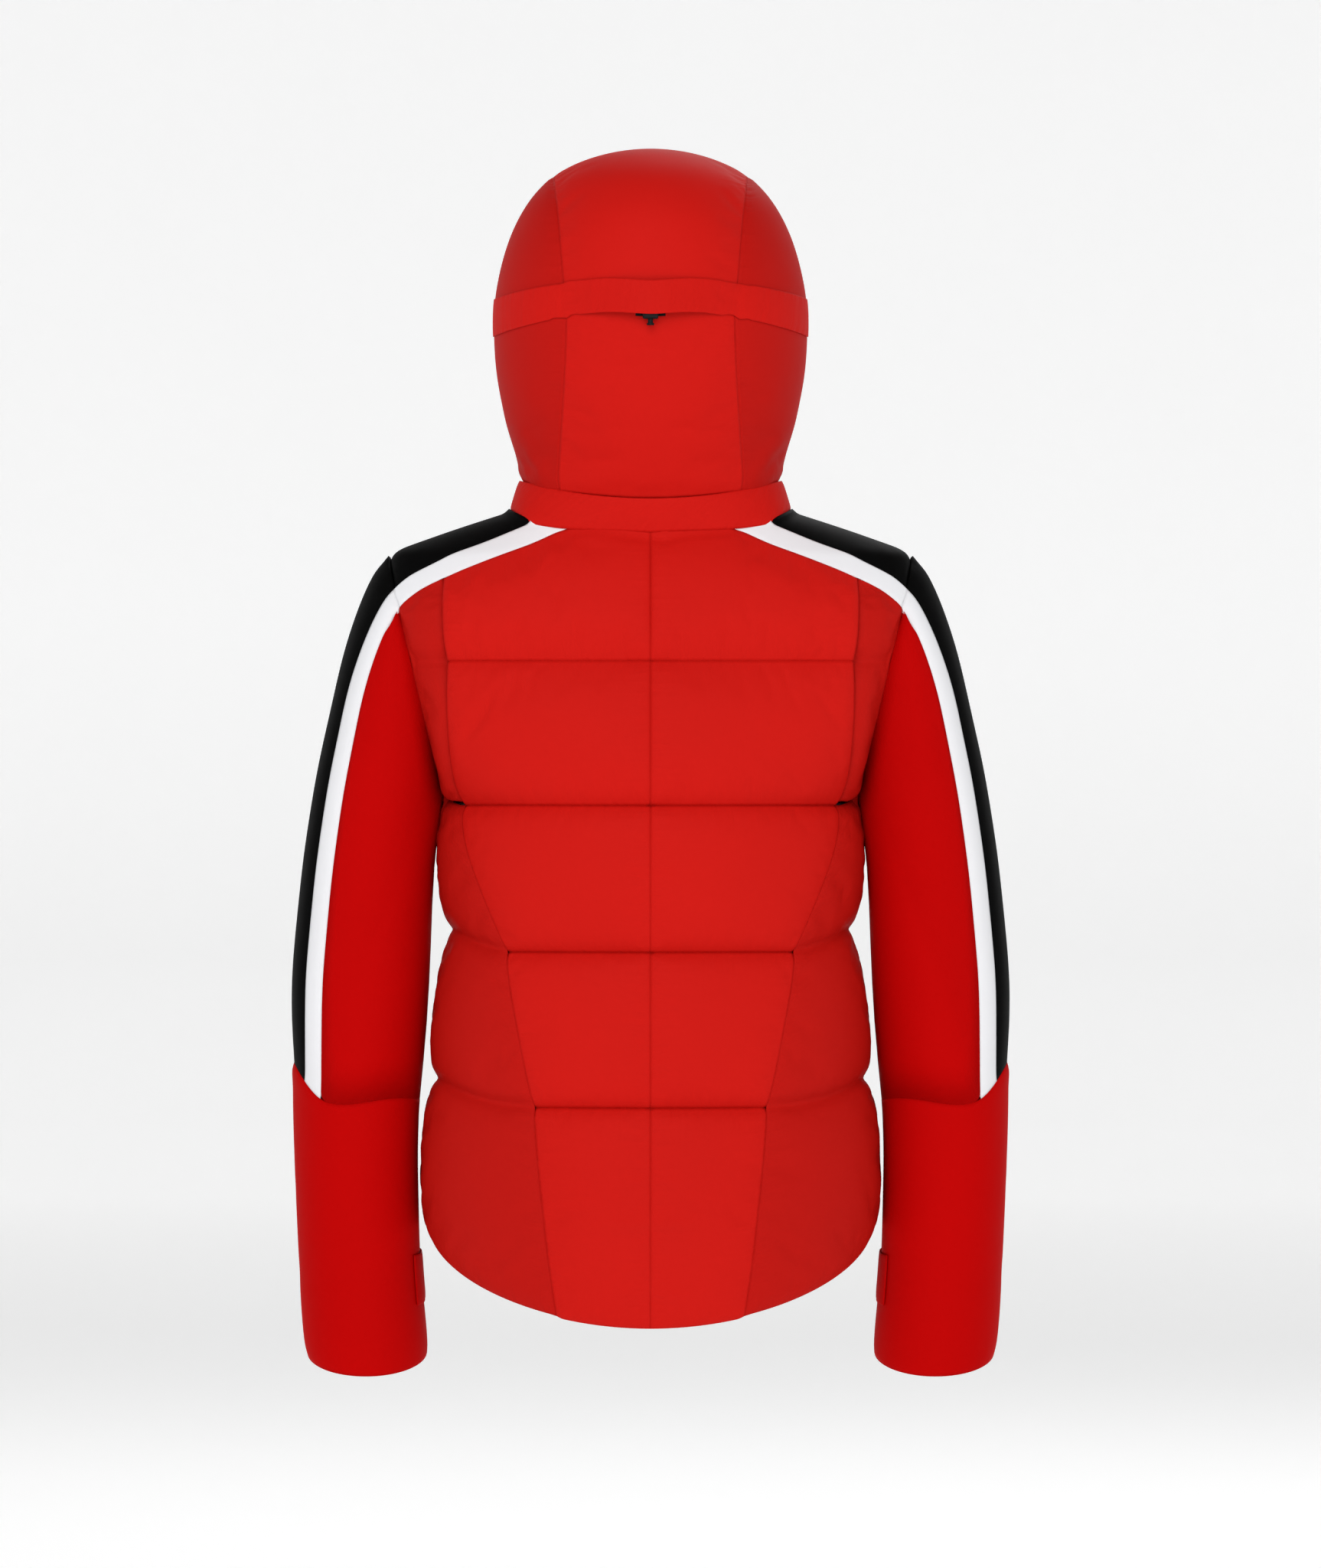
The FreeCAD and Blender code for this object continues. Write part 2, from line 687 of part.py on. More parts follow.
def hood_side(a, b):
    """a runs from the back seam to the face opening, b from the neck to the top."""
    back = seam_point(mix(SEAM_FOOT_Z, SEAM_TOP_Z, b))
    y = mix(back.y, hood_front_edge(b)[0], a)
    foot_y = mix(seam_point(SEAM_FOOT_Z).y, hood_front_edge(0)[0], a)
    foot = mix(SEAM_FOOT_Z, hood_foot(foot_y) + FOOT_GAP, min(a * 4, 1))
    top = mix(SEAM_TOP_Z, SEAM_TOP_Z - BRIM_DROP, a * a) - HOOD_SEAM_GAP
    z = mix(foot, top, b)
    return V(hood_side_x(y, z), y, z)


def hood_centre(a, b):
    return V(0, CROWN_Y, 170)


def hood_steer(a, b, point, normal):
    """Walls point at the hood's middle line, so panels meet along their seams."""
    heart = V(0, max(CROWN_Y, point.y), clamp(point.z, 40, 190))
    return (point - heart).normalize()


def adjuster_heights(angle):
    swing = math.sin(angle) ** 2
    return mix(183.7, 165.8, swing), mix(210.6, 197, swing)


def hood_back_point(angle, z):
    back = HOOD_BACK_LINE(z)
    return V(HOOD_WIDTH_LINE(z) * math.sin(angle), CROWN_Y - (CROWN_Y - back) * math.cos(angle), z)


def adjuster_place(a, b):
    angle = mix(-1.5, 1.5, a)
    low, high = adjuster_heights(angle)
    return hood_back_point(angle, mix(low, high, b))


def elastic_place(a, b):
    angle = mix(-1.2, 1.2, a)
    middle = ELASTIC_Z - 4 * math.sin(angle) ** 2
    return hood_back_point(angle, middle + (b - 0.5) * ELASTIC_WIDTH)


def rim_place(a, b):
    """Binding round the face opening, from one neck corner over the brim to the other."""
    s = 2 * a - 1
    share = abs(s)
    side = math.copysign(1, s)
    if share < 0.3:
        p = hood_strip(0.5 + side * share / 0.6, 1)
        return V(p.x, p.y + 0.6 + 5 * b, p.z - 1)
    t = (share - 0.3) / 0.7
    y, z = hood_front_edge(1 - t)
    return V(side * hood_side_x(y, z), y + 0.6 + 5 * b, z)


def make_hood():
    wall = level(-HOOD_WALL)
    puff = crown(HOOD_PUFF, 4)
    strip = padded(inset(hood_strip, 150, 420), hood_centre, puff, wall, (9, 17), hood_steer)
    save(strip, "hood_centre")
    for name, side in SIDES.items():
        place = mirrored(inset(hood_side, 180, 260), side)
        save(padded(place, hood_centre, puff, wall, (13, 13), hood_steer), "hood_side_" + name)
    base = HOOD_PUFF + 1.6

    def channel(a, b):
        return base + CHANNEL * (1 - b)
    band = padded(adjuster_place, hood_centre, lambda a, b: channel(a, b) + ADJUSTER_WALL,
                  channel, (25, 5))
    notch_width = LOCK_WIDTH + 2 * LOCK_NOTCH
    notch = Part.makeBox(notch_width, 40, LOCK_TOP + LOCK_NOTCH - LOCK_BOTTOM,
                         V(-notch_width / 2, -100, LOCK_BOTTOM))
    save(band.cut(notch), "hood_adjuster_band")
    save(padded(elastic_place, hood_centre, level(base + 0.4 + ELASTIC_WALL),
                level(base + 0.4), (25, 4)), "hood_elastic")
    save(padded(rim_place, hood_centre, level(0.6), level(-3.0), (41, 3)), "hood_rim")
    make_cord_lock(base)


def make_cord_lock(base):
    """Spring cord lock in the band's slot: a body on the elastic and a push button below."""
    back = HOOD_BACK_LINE(ELASTIC_Z) - base
    body = Part.makeBox(LOCK_WIDTH, LOCK_DEPTH, LOCK_TOP - LOCK_BOTTOM,
                        V(-LOCK_WIDTH / 2, back - LOCK_DEPTH - 0.5, LOCK_BOTTOM))
    body = body.makeFillet(1.6, body.Edges)
    slot = Part.makeBox(LOCK_WIDTH + 20, ELASTIC_WALL + 3.4, ELASTIC_WIDTH + 1.6,
                        V(-LOCK_WIDTH / 2 - 10, back - ELASTIC_WALL - 2.6,
                          ELASTIC_Z - ELASTIC_WIDTH / 2 - 0.8))
    middle = back - LOCK_DEPTH / 2 - 0.5
    bore = Part.makeCylinder(PLUNGER_R + PLUNGER_CLEARANCE, 8.5,
                             V(0, middle, LOCK_BOTTOM - 0.5), V(0, 0, 1))
    save(body.cut(slot).cut(bore), "cord_lock_body")
    stem = Part.makeCylinder(PLUNGER_R, 8, V(0, middle, LOCK_BOTTOM - PLUNGER_TRAVEL - 0.4))
    head = Part.makeCylinder(PLUNGER_R + 0.9, PLUNGER_HEAD,
                             V(0, middle, LOCK_BOTTOM - PLUNGER_TRAVEL - 0.4 - PLUNGER_HEAD))
    save(stem.fuse(head).removeSplitter(), "cord_lock_button")


# Zips, built flat in (across, out, down) and then stood on their line

def stand(shape, origin, out, down):
    across = out.cross(down)
    matrix = FreeCAD.Matrix(across.x, out.x, down.x, origin.x,
                            across.y, out.y, down.y, origin.y,
                            across.z, out.z, down.z, origin.z, 0, 0, 0, 1)
    shape.Placement = FreeCAD.Placement(matrix).multiply(shape.Placement)
    return shape


def block(x0, x1, n0, n1, t0, t1):
    return Part.makeBox(x1 - x0, n1 - n0, t1 - t0, V(x0, n0, t0))


def comb(x_spine, x_tip, x_root, start, length, low, high):
    """A row of teeth: one outline with a notch between each pair, given a thickness."""
    points = [V(x_spine, low, start)]
    count = int(length / TOOTH_PITCH)
    for k in range(count):
        t = start + k * TOOTH_PITCH
        points += [V(x_tip, low, t), V(x_tip, low, t + TOOTH_PITCH / 2)]
        points += [V(x_root, low, t + TOOTH_PITCH / 2), V(x_root, low, t + TOOTH_PITCH)]
    points += [V(x_spine, low, start + count * TOOTH_PITCH)]
    wire = Part.makePolygon(points + [points[0]])
    return Part.Face(wire).extrude(V(0, high - low, 0))


def zip_half(side, length, tape_low):
    tape = block(3.0, ZIP_EDGE - 0.5, tape_low, tape_low + 1.0, 0, length)
    teeth = comb(3.6, 0.8, 2.0, 6, length - 14, tape_low - 1.2, tape_low + 2.2)
    shape = tape.fuse(teeth).removeSplitter()
    return shape if side > 0 else shape.mirror(V(0, 0, 0), V(1, 0, 0))


def slider_body(low, half, back_plate):
    """Top plate with a blade between the teeth and a bridge for the pull."""
    top = low + 3.0
    plate = block(-half, half, top, top + 1.2, -SLIDER_LENGTH / 2, SLIDER_LENGTH / 2)
    bridge = block(-1.2, 1.2, top + 3.9, top + 4.9, -5.6, 1.6)
    for t in (-5.6, 0.4):
        bridge = bridge.fuse(block(-1.2, 1.2, top + 1.0, top + 4.0, t, t + 1.2))
    body = plate.fuse(bridge)
    if back_plate:
        blade = block(-0.45, 0.45, low - 3.4, top + 0.2, -7, -1)
        under = block(-half, half, low - 3.6, low - 2.4, -SLIDER_LENGTH / 2, SLIDER_LENGTH / 2)
        body = body.fuse(blade).fuse(under)
    return body.removeSplitter()


def pull_tab(low, length):
    """Pull with a cross pin under the bridge, two arms and a tapered grip."""
    axis_n = low + 5.6
    pin = Part.makeCylinder(0.8, 7.0, V(-3.5, axis_n, -2), V(1, 0, 0))
    shape = pin
    for x in (-3.5, 2.1):
        shape = shape.fuse(block(x, x + 1.4, axis_n - 0.8, axis_n + 0.8, -2.6, 9))
    shape = shape.fuse(block(-3.5, 3.5, axis_n - 0.8, axis_n + 0.8, 6, length))
    return shape.removeSplitter()


def main_zip_frame():
    down = V(0, FRONT_SLOPE, -1).normalize()
    return V(0, front_y(ZIP_TOP_Z), ZIP_TOP_Z), V(0, 1, FRONT_SLOPE).normalize(), down


def pocket_frame(side):
    """Top of the pocket's line, its way out of the cloth and its way down."""
    angle = math.pi - math.asin(POCKET_ROUND)
    top = torso_point(angle, POCKET_TOP_Z)
    down = (torso_point(angle, POCKET_BOTTOM_Z) - top).normalize()
    middle = (POCKET_TOP_Z + POCKET_BOTTOM_Z) / 2
    round_way = torso_point(angle - 0.02, middle) - torso_point(angle + 0.02, middle)
    out = round_way.cross(down).normalize()
    if out.y < 0:
        out = out.negative()
    return V(side * top.x, top.y, top.z), V(side * out.x, out.y, out.z), V(
        side * down.x, down.y, down.z)


def make_main_zip():
    origin, out, down = main_zip_frame()
    length = (ZIP_TOP_Z - ZIP_BOTTOM_Z) * math.hypot(1, FRONT_SLOPE)
    for name, side in SIDES.items():
        save(stand(zip_half(-side, length, -3.4), origin, out, down), "zip_half_" + name)
    start = 16.0
    body = slider_body(-3.4, 5.0, True)
    body.translate(V(0, 0, start))
    save(stand(body.copy(), origin, out, down), "zip_slider")
    pull = pull_tab(-3.4, 34.0)
    pull.translate(V(0, 0, start))
    save(stand(pull, origin, out, down), "zip_pull")


def make_pocket_zips():
    length = POCKET_TOP_Z - POCKET_BOTTOM_Z
    half = WELT_WIDTH / 2
    seat = SIDE_PUFF + 0.5
    for name, side in SIDES.items():
        origin, out, down = pocket_frame(side)
        welt = block(-half, half, seat, seat + 1.5, -10, length + 10)
        for x in (-half, 5.5):
            lip = block(x, x + half - 5.5, seat + 1.2, seat + 4.2, -10, length + 10)
            welt = welt.fuse(lip)
        for end in (-10, length):
            welt = welt.fuse(block(-half, half, seat + 1.2, seat + 4.2, end, end + 10))
        for x in (-2.6, 0.8):
            welt = welt.fuse(block(x, x + 1.8, seat + 1.2, seat + 3.0, 0, length))
        save(stand(welt.removeSplitter(), origin, out, down), "pocket_welt_" + name)
        low = seat + 0.3
        body = slider_body(low, 4.6, False)
        body.translate(V(0, 0, 10))
        save(stand(body, origin, out, down), "pocket_slider_" + name)
        pull = pull_tab(low, 28.0)
        pull.translate(V(0, 0, 10))
        save(stand(pull, origin, out, down), "pocket_pull_" + name)


def make_hanger_loop():
    """A short strap sewn to the back neck at both ends and bowed into the neck."""
    def loop(a, b):
        x = mix(-26, 26, a)
        return V(x, LOOP_ROOT_Y + 10 * math.cos(math.pi * x / 52) ** 2, mix(-2.5, 2.5, b))

    def before(a, b):
        return V(0, -60, 0)
    save(padded(loop, before, level(0.8), level(-0.8), (15, 3)), "hanger_loop")


os.makedirs("parts", exist_ok=True)
make_torso()
make_lining()
make_sleeves()
make_neck()
make_hood()
make_main_zip()
make_pocket_zips()
make_hanger_loop()
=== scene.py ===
# Padded ski jacket: quilted shell, hood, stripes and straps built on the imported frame, which
# brings the zips, sliders, pulls, welts and cord lock. Lengths are in metres unless said.
import json
import math

import bmesh
import bpy
import numpy as np
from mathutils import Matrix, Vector
from mathutils.bvhtree import BVHTree


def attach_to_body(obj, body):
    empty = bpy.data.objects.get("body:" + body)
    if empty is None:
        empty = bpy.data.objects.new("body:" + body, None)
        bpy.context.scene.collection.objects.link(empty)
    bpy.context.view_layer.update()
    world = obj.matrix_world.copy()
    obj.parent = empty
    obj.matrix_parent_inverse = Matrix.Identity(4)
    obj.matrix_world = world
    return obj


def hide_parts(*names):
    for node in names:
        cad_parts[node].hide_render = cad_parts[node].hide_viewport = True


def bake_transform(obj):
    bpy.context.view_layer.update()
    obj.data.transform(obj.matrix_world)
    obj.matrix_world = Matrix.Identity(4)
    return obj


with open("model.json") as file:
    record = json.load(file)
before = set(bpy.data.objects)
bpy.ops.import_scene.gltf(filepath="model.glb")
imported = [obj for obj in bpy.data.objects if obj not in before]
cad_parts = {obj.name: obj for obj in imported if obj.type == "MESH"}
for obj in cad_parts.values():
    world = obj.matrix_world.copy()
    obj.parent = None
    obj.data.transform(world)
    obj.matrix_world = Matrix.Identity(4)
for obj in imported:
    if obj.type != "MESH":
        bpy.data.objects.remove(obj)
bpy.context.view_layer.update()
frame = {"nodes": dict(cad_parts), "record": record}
NODES = frame["nodes"]
SIDES = {"left": -1, "right": 1}
MM = 0.001

CREASE_ANGLE = math.radians(38)      # edges sharper than this part one CAD face from the next
WELD = 0.001 * MM                    # CAD mesh points closer than this are one point
ARMHOLE_DIRECTION = Vector((0.973, 0, -0.230))    # out of the right armhole, square to it
ARMHOLE_MIDDLE = Vector((0.198, 0.066, -0.118))
ARMHOLE_NEAR = 14 * MM               # a sleeve's ring lies within this of the armhole's plane
ARMHOLE_SEW = 11 * MM                # and is sewn to body edges up to this far off
SEAM_REACH = 5.0 * MM                # neighbouring edges this close are one seam
CORNER_SPAN = 1.0 * MM               # a face's corners are judged over this length of edge
CORNER_SPACING = 2.5 * MM            # and are at least this far apart along it
NOTCH_REACH = 11 * MM                # a notched strap is closed over this half width
SETTLE_ROUNDS = 3
CLOTH_FRAMES = 20


# Panels: the outer face of each pad, laid out as a grid between its four corners


def smooth_regions(bm):
    """Groups of faces with no crease between them."""
    left = dict.fromkeys(bm.faces)
    regions = []
    while left:
        seed = next(iter(left))
        del left[seed]
        group = [seed]
        queue = [seed]
        while queue:
            for edge in queue.pop().edges:
                if len(edge.link_faces) != 2 or edge.calc_face_angle(0) > CREASE_ANGLE:
                    continue
                for other in edge.link_faces:
                    if other in left:
                        del left[other]
                        group.append(other)
                        queue.append(other)
        regions.append(group)
    return regions


def border_of(region):
    """The region's longest border as one closed loop of points."""
    faces = set(region)
    follow = {}
    for face in region:
        for loop in face.loops:
            if sum(other in faces for other in loop.edge.link_faces) == 1:
                follow[loop.vert] = loop.link_loop_next.vert
    loops = []
    while follow:
        start = next(iter(follow))
        chain = [start]
        ahead = follow.pop(start)
        while ahead in follow:
            chain.append(ahead)
            ahead = follow.pop(ahead)
        loops.append(np.array([v.co[:] for v in chain]))
    return max(loops, key=length_of)


def corners_of(loop, notched):
    """The four sharpest turns of the loop, in order; on a notched face, those farthest out."""
    step = np.linalg.norm(np.roll(loop, -1, axis=0) - loop, axis=1)
    along = np.concatenate(([0], np.cumsum(step)))
    closed = np.concatenate([loop, loop[:1]])

    def place(at):
        at = np.mod(at, along[-1])
        return np.stack([np.interp(at, along, closed[:, k]) for k in range(3)], axis=1)
    before = loop - place(along[:-1] - CORNER_SPAN)
    after = place(along[:-1] + CORNER_SPAN) - loop
    turn = (before * after).sum(axis=1)
    turn /= np.linalg.norm(before, axis=1) * np.linalg.norm(after, axis=1)
    picked = []
    for k in np.argsort(turn):
        gaps = [abs(along[k] - along[m]) for m in picked]
        if all(min(gap, along[-1] - gap) > CORNER_SPACING for gap in gaps):
            picked.append(k)
        if len(picked) == (8 if notched else 4):
            break
    if notched:
        picked = sorted(picked, key=lambda k: -abs(loop[k, 0]))[:4]
    return sorted(picked)


def resample(line, count):
    """Points at even spacing along a line."""
    step = np.linalg.norm(np.diff(line, axis=0), axis=1)
    along = np.concatenate(([0], np.cumsum(step)))
    even = np.linspace(0, along[-1], count)
    return np.stack([np.interp(even, along, line[:, k]) for k in range(3)], axis=1)


def length_of(line):
    return np.linalg.norm(np.diff(line, axis=0), axis=1).sum()


def sides_of(loop, corners):
    """Bottom, right, top and left lines; bottom and top run one way, left and right up."""
    lines = []
    for k in range(4):
        start, end = corners[k], corners[(k + 1) % 4]
        picked = np.arange(start, end + 1 if end > start else end + len(loop) + 1)
        lines.append(loop[picked % len(loop)])
    low = min(range(4), key=lambda k: lines[k][:, 2].mean())
    turned = lines[low:] + lines[:low]
    return turned[0], turned[1], turned[2][::-1], turned[3][::-1]


def coons(bottom, right, top, left):
    """A grid of points spanned between its four sides."""
    u = np.linspace(0, 1, len(bottom))[:, None, None]
    v = np.linspace(0, 1, len(left))[None, :, None]
    ruled = (1 - v) * bottom[:, None] + v * top[:, None] + (1 - u) * left[None] + u * right[None]
    flat = ((1 - u) * (1 - v) * bottom[0] + u * (1 - v) * bottom[-1]
            + (1 - u) * v * top[0] + u * v * top[-1])
    return ruled - flat


def settle(grid, tree, rounds):
    """Evens the grid out and puts it back on the face."""
    for _ in range(rounds):
        inner = (grid[:-2, 1:-1] + grid[2:, 1:-1] + grid[1:-1, :-2] + grid[1:-1, 2:]) / 4
        grid[1:-1, 1:-1] = inner
        for i in range(1, grid.shape[0] - 1):
            for j in range(1, grid.shape[1] - 1):
                grid[i, j] = tree.find_nearest(Vector(grid[i, j]))[0]
    return grid


def grid_normals(grid):
    across = np.gradient(grid, axis=0)
    along = np.gradient(grid, axis=1)
    normal = np.cross(across, along)
    return normal / np.maximum(np.linalg.norm(normal, axis=2), 1e-12)[..., None]


def without_notch(line):
    """Leaves out what lies near the middle, so that the line runs straight over it."""
    return line[np.abs(line[:, 0]) > NOTCH_REACH]


def outer_grid(node, cell, notched):
    """The node's largest face as a grid, turned so that its normals point outwards."""
    bm = bmesh.new()
    bm.from_mesh(NODES[node].data)
    bmesh.ops.remove_doubles(bm, verts=bm.verts, dist=WELD)
    bm.normal_update()
    region = max(smooth_regions(bm), key=lambda group: sum(f.calc_area() for f in group))
    bm.verts.index_update()
    tree = BVHTree.FromPolygons([v.co[:] for v in bm.verts],
                                [[v.index for v in f.verts] for f in region])
    loop = border_of(region)
    bm.free()
    bottom, right, top, left = sides_of(loop, corners_of(loop, notched))
    if notched:
        bottom, top = without_notch(bottom), without_notch(top)
    columns = max(4, round(max(length_of(bottom), length_of(top)) / cell)) + 1
    rows = max(4, round(max(length_of(left), length_of(right)) / cell)) + 1
    grid = coons(resample(bottom, columns), resample(right, rows),
                 resample(top, columns), resample(left, rows))
    if not notched:
        grid = settle(grid, tree, SETTLE_ROUNDS)
    middle = grid[columns // 2, rows // 2]
    outwards = np.array(tree.find_nearest(Vector(middle))[1])
    if grid_normals(grid)[columns // 2, rows // 2] @ outwards < 0:
        grid = grid[::-1]
    return grid


def arc_lengths(grid, axis):
    """Distance along the grid lines from the first line and from the last."""
    step = np.linalg.norm(np.diff(grid, axis=axis), axis=2)
    start = np.zeros(grid.shape[:2])
    if axis == 0:
        start[1:] = np.cumsum(step, axis=0)
        return start, start[-1:] - start
    start[:, 1:] = np.cumsum(step, axis=1)
    return start, start[:, -1:] - start


# Quilting: rows of filling between sewn lines that run on from panel to panel


def quilt_line(height, rise, reach, power):
    """A sewn line that is level at the middle of the back and front and rises at the side."""
    return lambda x: height + rise * (np.abs(x) / reach) ** power


QUILT_LINES = [quilt_line(-0.479, 0.023, 0.185, 5), quilt_line(-0.350, 0.019, 0.173, 6)]
CHEST_LINE = quilt_line(-0.107, 0.0, 0.170, 2)
ROW_HEIGHT = 7.5 * MM        # a row of filling stands this far over its seams
ROW_POWER = 2.6              # and this is how flat its top is
ROW_FADE = 10 * MM           # it dies out over this length towards a faded edge
# Height and power of the crown that each CAD pad has already
CAD_CROWNS = {"back_baffle": (8.0 * MM, 2.5), "back_side": (5.0 * MM, 4), "front": (5.0 * MM, 4)}


def rows_on_lines(grid, lines):
    """Slides each column's points so that whole rows lie on the sewn lines; gives the rows."""
    columns, rows = grid.shape[:2]
    order = np.arange(rows)
    found = np.array([[np.interp(0, grid[i, :, 2] - line(grid[i, :, 0]), order)
                       for line in lines] for i in range(columns)])
    chosen = np.round(found.mean(axis=0)).astype(int)
    for i in range(columns):
        source = np.interp(order, [0, *chosen, rows - 1], [0, *found[i], rows - 1])
        grid[i] = np.stack([np.interp(source, order, grid[i, :, k]) for k in range(3)], axis=1)
    return [int(row) for row in chosen]


def cad_crown(node, grid):
    """Height of the CAD pad's own crown over the grid."""
    for name, (height, power) in CAD_CROWNS.items():
        if node.startswith(name):
            across, along = [1 - np.abs(np.linspace(-1, 1, n)) ** power for n in grid.shape[:2]]
            return height * across[:, None] * along[None, :]
    return np.zeros(grid.shape[:2])


def outer_edge_first(grid):
    """Distance of each point from the edge that is farther from the body's middle line."""
    start, end = arc_lengths(grid, 0)
    outside = np.abs(grid[0, :, 0]).mean() > np.abs(grid[-1, :, 0]).mean()
    return (start, end) if outside else (end, start)


def fill_rows(panel):
    """Puts the rows of filling on a torso panel in place of the CAD pad's plain crown."""
    grid = panel["grid"]
    panel["sewn"] = rows_on_lines(grid, panel["lines"]) if panel["lines"] else []
    level = grid - grid_normals(grid) * cad_crown(panel["node"], grid)[..., None]
    panel["normal"] = grid_normals(level)
    rows = grid.shape[1]
    knots = [0, *panel["sewn"], rows - 1]
    share = np.interp(np.arange(rows), knots, np.arange(len(knots))) % 1
    height = ROW_HEIGHT * (1 - np.abs(2 * share - 1) ** ROW_POWER)
    height = np.tile(height, (grid.shape[0], 1))
    outside, inside = outer_edge_first(grid)
    if panel["fade_outside"]:
        height *= 1 - np.exp(-outside / ROW_FADE)
    if panel["fade_inside"]:
        height *= 1 - np.exp(-inside / ROW_FADE)
    panel["grid"] = level + panel["normal"] * height[..., None]


ELBOW_Z = -458 * MM
ELBOW_REACH = 95 * MM        # the slant dies out this far up and down the arm
ELBOW_OUTSIDE = 302 * MM     # the arm's outside at the elbow
ELBOW_STRIPES = 31 * MM      # how far in from the arm's outside the stripes end
ELBOW_RAISED = 6.5 * MM      # the seam's shift on the outside of the arm
ELBOW_DROP = 27.0 * MM       # and how far it drops from there to the white stripe's edge
ELBOW_LEVEL = 75 * MM        # it comes back to level over this width of the red sleeve
ELBOW_FILL = 1.8 * MM        # the two sleeve parts' crowns meet this much fuller
ELBOW_FILLED = 16 * MM


def slant_elbow(grid, normal):
    """Fills the elbow seam out and slants it across the stripes, lower towards the middle."""
    close = np.clip(1 - np.abs(grid[..., 2] - ELBOW_Z) / ELBOW_FILLED, 0, 1)
    grid += normal * (ELBOW_FILL * close * close)[..., None]
    inwards = ELBOW_OUTSIDE - np.abs(grid[..., 0])
    share = np.clip(inwards / ELBOW_STRIPES, 0, 1)
    back_again = np.clip((inwards - ELBOW_STRIPES) / ELBOW_LEVEL, 0, 1)
    shift = ELBOW_RAISED - ELBOW_DROP * np.sin(share * math.pi / 2)
    shift *= 1 - back_again ** 2 * (3 - 2 * back_again)
    near = np.clip(1 - np.abs(grid[..., 2] - ELBOW_Z) / ELBOW_REACH, 0, 1)
    grid[..., 2] += shift * near * near * (3 - 2 * near)


def border_points(grid):
    """Grid indices round the border, as one loop."""
    columns, rows = grid.shape[:2]
    ring = [(i, 0) for i in range(columns - 1)] + [(columns - 1, j) for j in range(rows - 1)]
    ring += [(i, rows - 1) for i in range(columns - 1, 0, -1)]
    ring += [(0, j) for j in range(rows - 1, 0, -1)]
    return tuple(np.array(ring).T)


def nearest_on_loop(points, loop):
    """For each point: the nearest place on a closed loop, how far it is, its nearest vertex."""
    way = np.roll(loop, -1, axis=0) - loop
    length = np.maximum((way * way).sum(axis=1), 1e-14)
    rel = points[:, None] - loop[None]
    share = np.clip((rel * way).sum(axis=2) / length, 0, 1)
    place = loop[None] + share[..., None] * way[None]
    far = np.linalg.norm(points[:, None] - place, axis=2)
    best = far.argmin(axis=1)
    rows = np.arange(len(points))
    nearest = (best + (share[rows, best] > 0.5)) % len(loop)
    return place[rows, best], far[rows, best], nearest


def armhole_distance(points):
    """How far points are from the plane of the armhole on their side."""
    return np.abs((np.abs(points[..., 0]) - ARMHOLE_MIDDLE.x) * ARMHOLE_DIRECTION.x
                  + (points[..., 2] - ARMHOLE_MIDDLE.z) * ARMHOLE_DIRECTION.z)


def sew_together(panels, reach=SEAM_REACH, groups=None):
    """Moves the edges of neighbouring panels onto the seam half way between them.

    Both sides of a seam then share its normal too, so that they stay together as they roll in.
    With groups, only edges at the armhole are moved, each onto one of another group.
    """
    rings = [border_points(p["grid"]) for p in panels]
    loops = [p["grid"][ring] for p, ring in zip(panels, rings)]
    facing = [p["normal"][ring] for p, ring in zip(panels, rings)]
    for k, (panel, ring, loop) in enumerate(zip(panels, rings, loops)):
        best = np.full(len(loop), reach)
        target = loop.copy()
        shared = facing[k].copy()
        low, high = loop.min(axis=0) - reach, loop.max(axis=0) + reach
        for m, other in enumerate(loops):
            if m == k or (other.max(axis=0) < low).any() or (other.min(axis=0) > high).any():
                continue
            if groups and groups[k] == groups[m]:
                continue
            place, far, nearest = nearest_on_loop(loop, other)
            closer = far < best
            if groups:
                closer &= armhole_distance(loop) < ARMHOLE_NEAR
            target[closer] = (loop[closer] + place[closer]) / 2
            both = facing[k][closer] + facing[m][nearest[closer]]
            shared[closer] = both / np.linalg.norm(both, axis=1)[:, None]
            best = np.minimum(best, far)
        panel["grid"][ring] = target
        panel["normal"][ring] = shared
        free = best == reach
        free |= np.roll(free, 1) | np.roll(free, -1)
        panel["free"] = (ring[0][free], ring[1][free])
    if not groups:
        weld_corners(panels, reach)


def weld_corners(panels, reach):
    """Brings the corners that meet at one point together exactly."""
    corners = [(p, i, j) for p in panels for i in (0, -1) for j in (0, -1)]
    places = np.array([p["grid"][i, j] for p, i, j in corners])
    normals = np.array([p["normal"][i, j] for p, i, j in corners])
    for (p, i, j), place in zip(corners, places):
        close = np.linalg.norm(places - place, axis=1) < reach
        normal = normals[close].sum(axis=0)
        p["grid"][i, j] = places[close].mean(axis=0)
        p["normal"][i, j] = normal / np.linalg.norm(normal)


# Cloth: the padded faces given a pressure swell between their pinned seams


def grid_faces(columns, rows, first=0):
    """Four-sided faces over a grid whose points are numbered on from first."""
    index = np.arange(columns * rows).reshape(columns, rows) + first
    faces = np.stack([index[:-1, :-1], index[1:, :-1], index[1:, 1:], index[:-1, 1:]], axis=-1)
    return faces.reshape(-1, 4).tolist()


